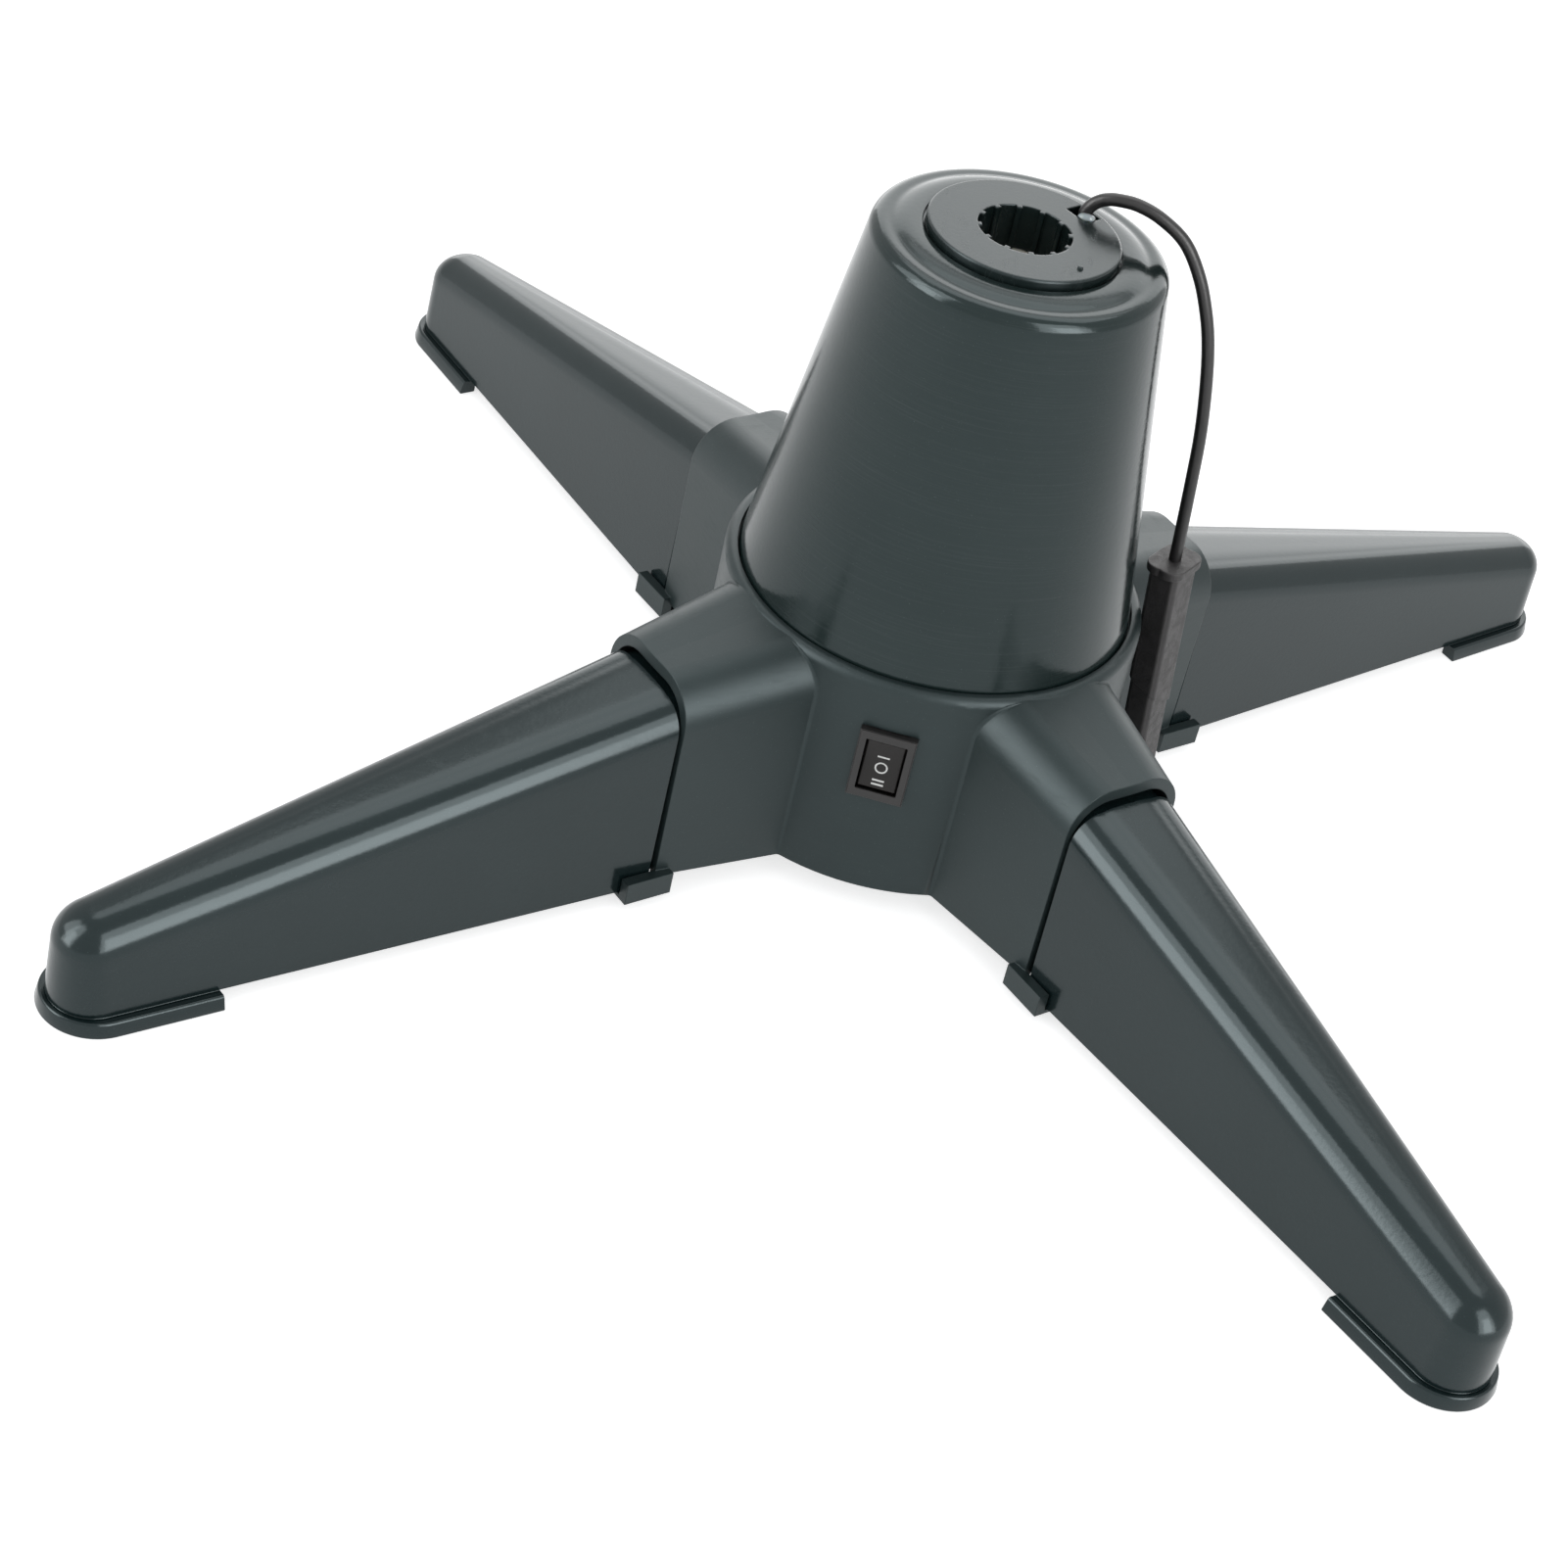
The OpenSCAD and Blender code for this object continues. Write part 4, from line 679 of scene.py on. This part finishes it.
def make_switch_frame():
    """The bezel's raised frame round the rocker."""
    faces, verts = [], []
    for y in (BEZEL_FRONT + 0.4, BEZEL_FRONT - FRAME_RISE):
        for half_w, half_h in (FRAME_OUTER, FRAME_INNER):
            verts += [(sx * half_w, y, SWITCH_Z + sz * half_h) for sx, sz in ((1, 1), (-1, 1), (-1, -1), (1, -1))]
    for k in range(4):
        n = (k + 1) % 4
        faces += [(k, n, 4 + n, 4 + k), (8 + k, 8 + n, 12 + n, 12 + k),
                  (k, n, 8 + n, 8 + k), (4 + k, 4 + n, 12 + n, 12 + k)]
    obj = piece("switch_frame", verts, faces, BLACK, "base", weld=1e-9)
    bevelled(obj, 0.22, 3)


def make_marks():
    """I above, O in the middle, II below, printed white across the rocker."""
    parts = Parts()
    half_w, half_h = MARK_BAR_HALF
    for middle in MARK_BARS:
        verts = [rocker_surface(x, z, lift) for lift in (PRINT_LIFT, -PRINT_DEPTH)
                 for z in (middle - half_h, middle + half_h) for x in (-half_w, half_w)]
        parts.add(verts, [(0, 1, 3, 2), (0, 1, 5, 4), (2, 3, 7, 6), (0, 2, 6, 4), (1, 3, 7, 5)])
    n = 40
    ring = []
    for lift in (PRINT_LIFT, -PRINT_DEPTH):
        for r in MARK_RING_R:
            turns = [2 * math.pi * k / n for k in range(n)]
            ring += [rocker_surface(r * math.cos(t), MARK_RING + r * math.sin(t), lift) for t in turns]
    faces = [(k, (k + 1) % n, n + (k + 1) % n, n + k) for k in range(n)]
    faces += [(a + k, a + (k + 1) % n, b + (k + 1) % n, b + k) for a, b in ((0, 2 * n), (n, 3 * n)) for k in range(n)]
    parts.add(ring, faces)
    obj = piece("rocker_marks", parts.verts, parts.faces, WHITE_PRINT, "rocker", weld=1e-9)


def make_nub():
    """The moulding nub that stands on the disc beside the hole."""
    r, low, high = NUB_R, DISC_TOP - NUB_SUNK, DISC_TOP + NUB_RISE
    verts, faces = lathe([(0.0, low), (r, low), (r * 0.92, high - 0.15), (r * 0.75, high), (0.0, high)], 20)
    verts = [(x + NUB_AT[0], y + NUB_AT[1], z) for x, y, z in verts]
    piece("disc_nub", verts, faces, DISC_GREEN, "turntable", weld=1e-6)


def make_glue():
    """A blob of hot glue beside the lead, in the slot's end."""
    verts = []
    rows, cols = 14, 28
    for i in range(rows + 1):
        a = math.pi * i / rows
        for k in range(cols):
            b = 2 * math.pi * k / cols
            d = Vector((math.sin(a) * math.cos(b), math.sin(a) * math.sin(b), math.cos(a)))
            swell = 1 + 0.16 * noise.noise(d * 1.7 + Vector((3, 1, 7)))
            verts.append(tuple(at + half * v * swell for at, half, v in zip(GLUE_AT, GLUE_HALF, d)))
    piece("glue_blob", verts, grid(rows + 1, cols, wrap=True), GLUE, "turntable", weld=1e-6)


make_rocker()
make_switch_frame()
make_marks()
make_nub()
make_glue()


# ---------------------------------------------------------------- finishes of the CAD nodes that stay
CAD_FINISH = {
    "hub_housing": SATIN_GREEN, "bottom_cover": SATIN_GREEN, "turntable_cap": DISC_GREEN,
    "bottom_cover_screws": STEEL, "cone_screws": STEEL, "cap_screws": STEEL, "motor_screws": STEEL,
    "spindle_tube": NYLON, "driven_gear": NYLON, "upper_bush": NYLON, "lower_bush": NYLON, "motor_pinion": NYLON,
    "motor_body": MOTOR_STEEL, "motor_shaft": STEEL, "slip_ring_drum": BLACK, "slip_rings": BRASS,
    "brush_block": BLACK, "brushes": CARBON, "switch_body": BLACK,
    "switch_terminals": BRASS, "mains_gland": BLACK, "lead_stub": CABLE,
}
for node_name, finish in CAD_FINISH.items():
    mesh = NODES[node_name].data
    for index in range(len(mesh.materials)):
        mesh.materials[index] = finish
    if not mesh.materials:
        mesh.materials.append(finish)


# ---------------------------------------------------------------- floor, world and lights
def shader_node(tree, kind, **inputs):
    node = tree.nodes.new(kind)
    for key, value in inputs.items():
        node.inputs[key].default_value = value
    return node


def by_ray(tree, seen, lit):
    """Chooses a shader by ray: seen for camera, glossy and transmission rays, lit for the rest."""
    path = tree.nodes.new("ShaderNodeLightPath")
    flag = path.outputs["Is Camera Ray"]
    for other in ("Is Glossy Ray", "Is Transmission Ray"):
        most = tree.nodes.new("ShaderNodeMath")
        most.operation = "MAXIMUM"
        tree.links.new(flag, most.inputs[0])
        tree.links.new(path.outputs[other], most.inputs[1])
        flag = most.outputs[0]
    mix = tree.nodes.new("ShaderNodeMixShader")
    tree.links.new(flag, mix.inputs["Fac"])
    tree.links.new(lit, mix.inputs[1])
    tree.links.new(seen, mix.inputs[2])
    return mix.outputs[0]


FLOOR_HALF, FLOOR_Z = 2.5, -0.0002   # metres
FLOOR_WHITE = 0.86
FLOOR_LIFT = 0.70              # takes the lit table up to white, for camera, glossy and transmission rays
WORLD_FILL = 0.62


def make_floor():
    """A plain white table that keeps the stand's soft shadow."""
    mesh = bpy.data.meshes.new("floor")
    corners = [(x * FLOOR_HALF, y * FLOOR_HALF, FLOOR_Z) for x, y in ((-1, -1), (1, -1), (1, 1), (-1, 1))]
    mesh.from_pydata(corners, [], [(0, 1, 2, 3)])
    floor = bpy.data.objects.new("floor", mesh)
    bpy.context.scene.collection.objects.link(floor)
    material = bpy.data.materials.new("floor")
    material.use_nodes = True
    tree = material.node_tree
    matt = tree.nodes["Principled BSDF"]
    matt.inputs["Base Color"].default_value = (FLOOR_WHITE, FLOOR_WHITE, FLOOR_WHITE, 1)
    matt.inputs["Roughness"].default_value = 0.9
    matt.inputs["Specular IOR Level"].default_value = 0.0
    lift = shader_node(tree, "ShaderNodeEmission", Strength=FLOOR_LIFT)
    seen = tree.nodes.new("ShaderNodeAddShader")
    tree.links.new(matt.outputs[0], seen.inputs[0])
    tree.links.new(lift.outputs[0], seen.inputs[1])
    out = by_ray(tree, seen.outputs[0], matt.outputs[0])
    tree.links.new(out, tree.nodes["Material Output"].inputs["Surface"])
    mesh.materials.append(material)


def make_world():
    """White behind the stand and in its gloss, and a plain grey fill light."""
    world = bpy.data.worlds.new("studio")
    bpy.context.scene.world = world
    world.use_nodes = True
    tree = world.node_tree
    seen = tree.nodes["Background"]
    seen.inputs["Color"].default_value = (1, 1, 1, 1)
    lit = shader_node(tree, "ShaderNodeBackground", Color=(0.97, 0.985, 1.0, 1), Strength=WORLD_FILL)
    out = by_ray(tree, seen.outputs[0], lit.outputs[0])
    tree.links.new(out, tree.nodes["World Output"].inputs["Surface"])


def aim_at(light, target):
    """Turns a light towards a point."""
    light.rotation_euler = (target - light.location).to_track_quat("-Z", "Y").to_euler()


def panel(name, azimuth, distance, z_low, z_high, width, radiance, diffuse=False):
    """A flat light panel upright round the stand. One with diffuse off is only seen in reflections."""
    data = bpy.data.lights.new(name, "AREA")
    height = z_high - z_low
    data.shape, data.size, data.size_y = "RECTANGLE", width, height
    data.energy = radiance * math.pi * width * height
    light = bpy.data.objects.new(name, data)
    bpy.context.scene.collection.objects.link(light)
    a = math.radians(azimuth)
    light.location = (distance * math.cos(a), distance * math.sin(a), (z_low + z_high) / 2)
    aim_at(light, Vector((0, 0, light.location.z)))
    light.visible_camera = False
    light.visible_diffuse = diffuse
    return light


STAND_MIDDLE, OVERHEAD_AIM = Vector((0, 0, 0.1)), Vector((0, 0.05, 0.1))
FILL = 0.95                    # radiance of the plain lamps
SOFTBOX_AT = 3.0               # metres from the stand's middle
# name, azimuth, half width, lowest and highest elevation (degrees), radiance
SOFTBOXES = (("softbox_right", -42, 20, 0, 56.5, 3.6), ("softbox_right_core", -40, 10, 4, 36, 3.8),
             ("softbox_left", -149, 15.4, 0, 57.5, 3.4), ("softbox_left_core", -148, 8.5, 4, 36, 3.6),
             ("softbox_left_side", -171, 13, 16, 50, 3.0))


def make_lights():
    """Panels that only the gloss shows, and two plain lamps that only light the colours."""
    # tall softboxes in front and at the left; far out, so that all legs mirror them alike
    for name, azimuth, half_angle, el_low, el_high, radiance in SOFTBOXES:
        z_low, z_high, half_width = (SOFTBOX_AT * math.tan(math.radians(a)) for a in (el_low, el_high, half_angle))
        panel(name, azimuth, SOFTBOX_AT, z_low, z_high, 2 * half_width, radiance)
    # the white sweep behind, its top leaning forward, and the panel overhead
    panel("sweep", 90, 1.30, 0.0, 1.15, 1.60, 1.65)
    aim_at(panel("sweep_top", 90, 0.86, 1.0, 1.3, 1.1, 1.0), STAND_MIDDLE)
    overhead = panel("overhead", 90, 0.42, 1.025, 1.675, 1.5, 2.0)
    aim_at(overhead, OVERHEAD_AIM)
    for name, azimuth in (("fill_right", -40), ("fill_left", -145)):
        fill = panel(name, azimuth, 0.9, 0.1, 1.3, 0.8, FILL, diffuse=True)
        fill.visible_glossy = False


make_floor()
make_world()
make_lights()

bpy.context.scene.view_settings.view_transform = "Standard"
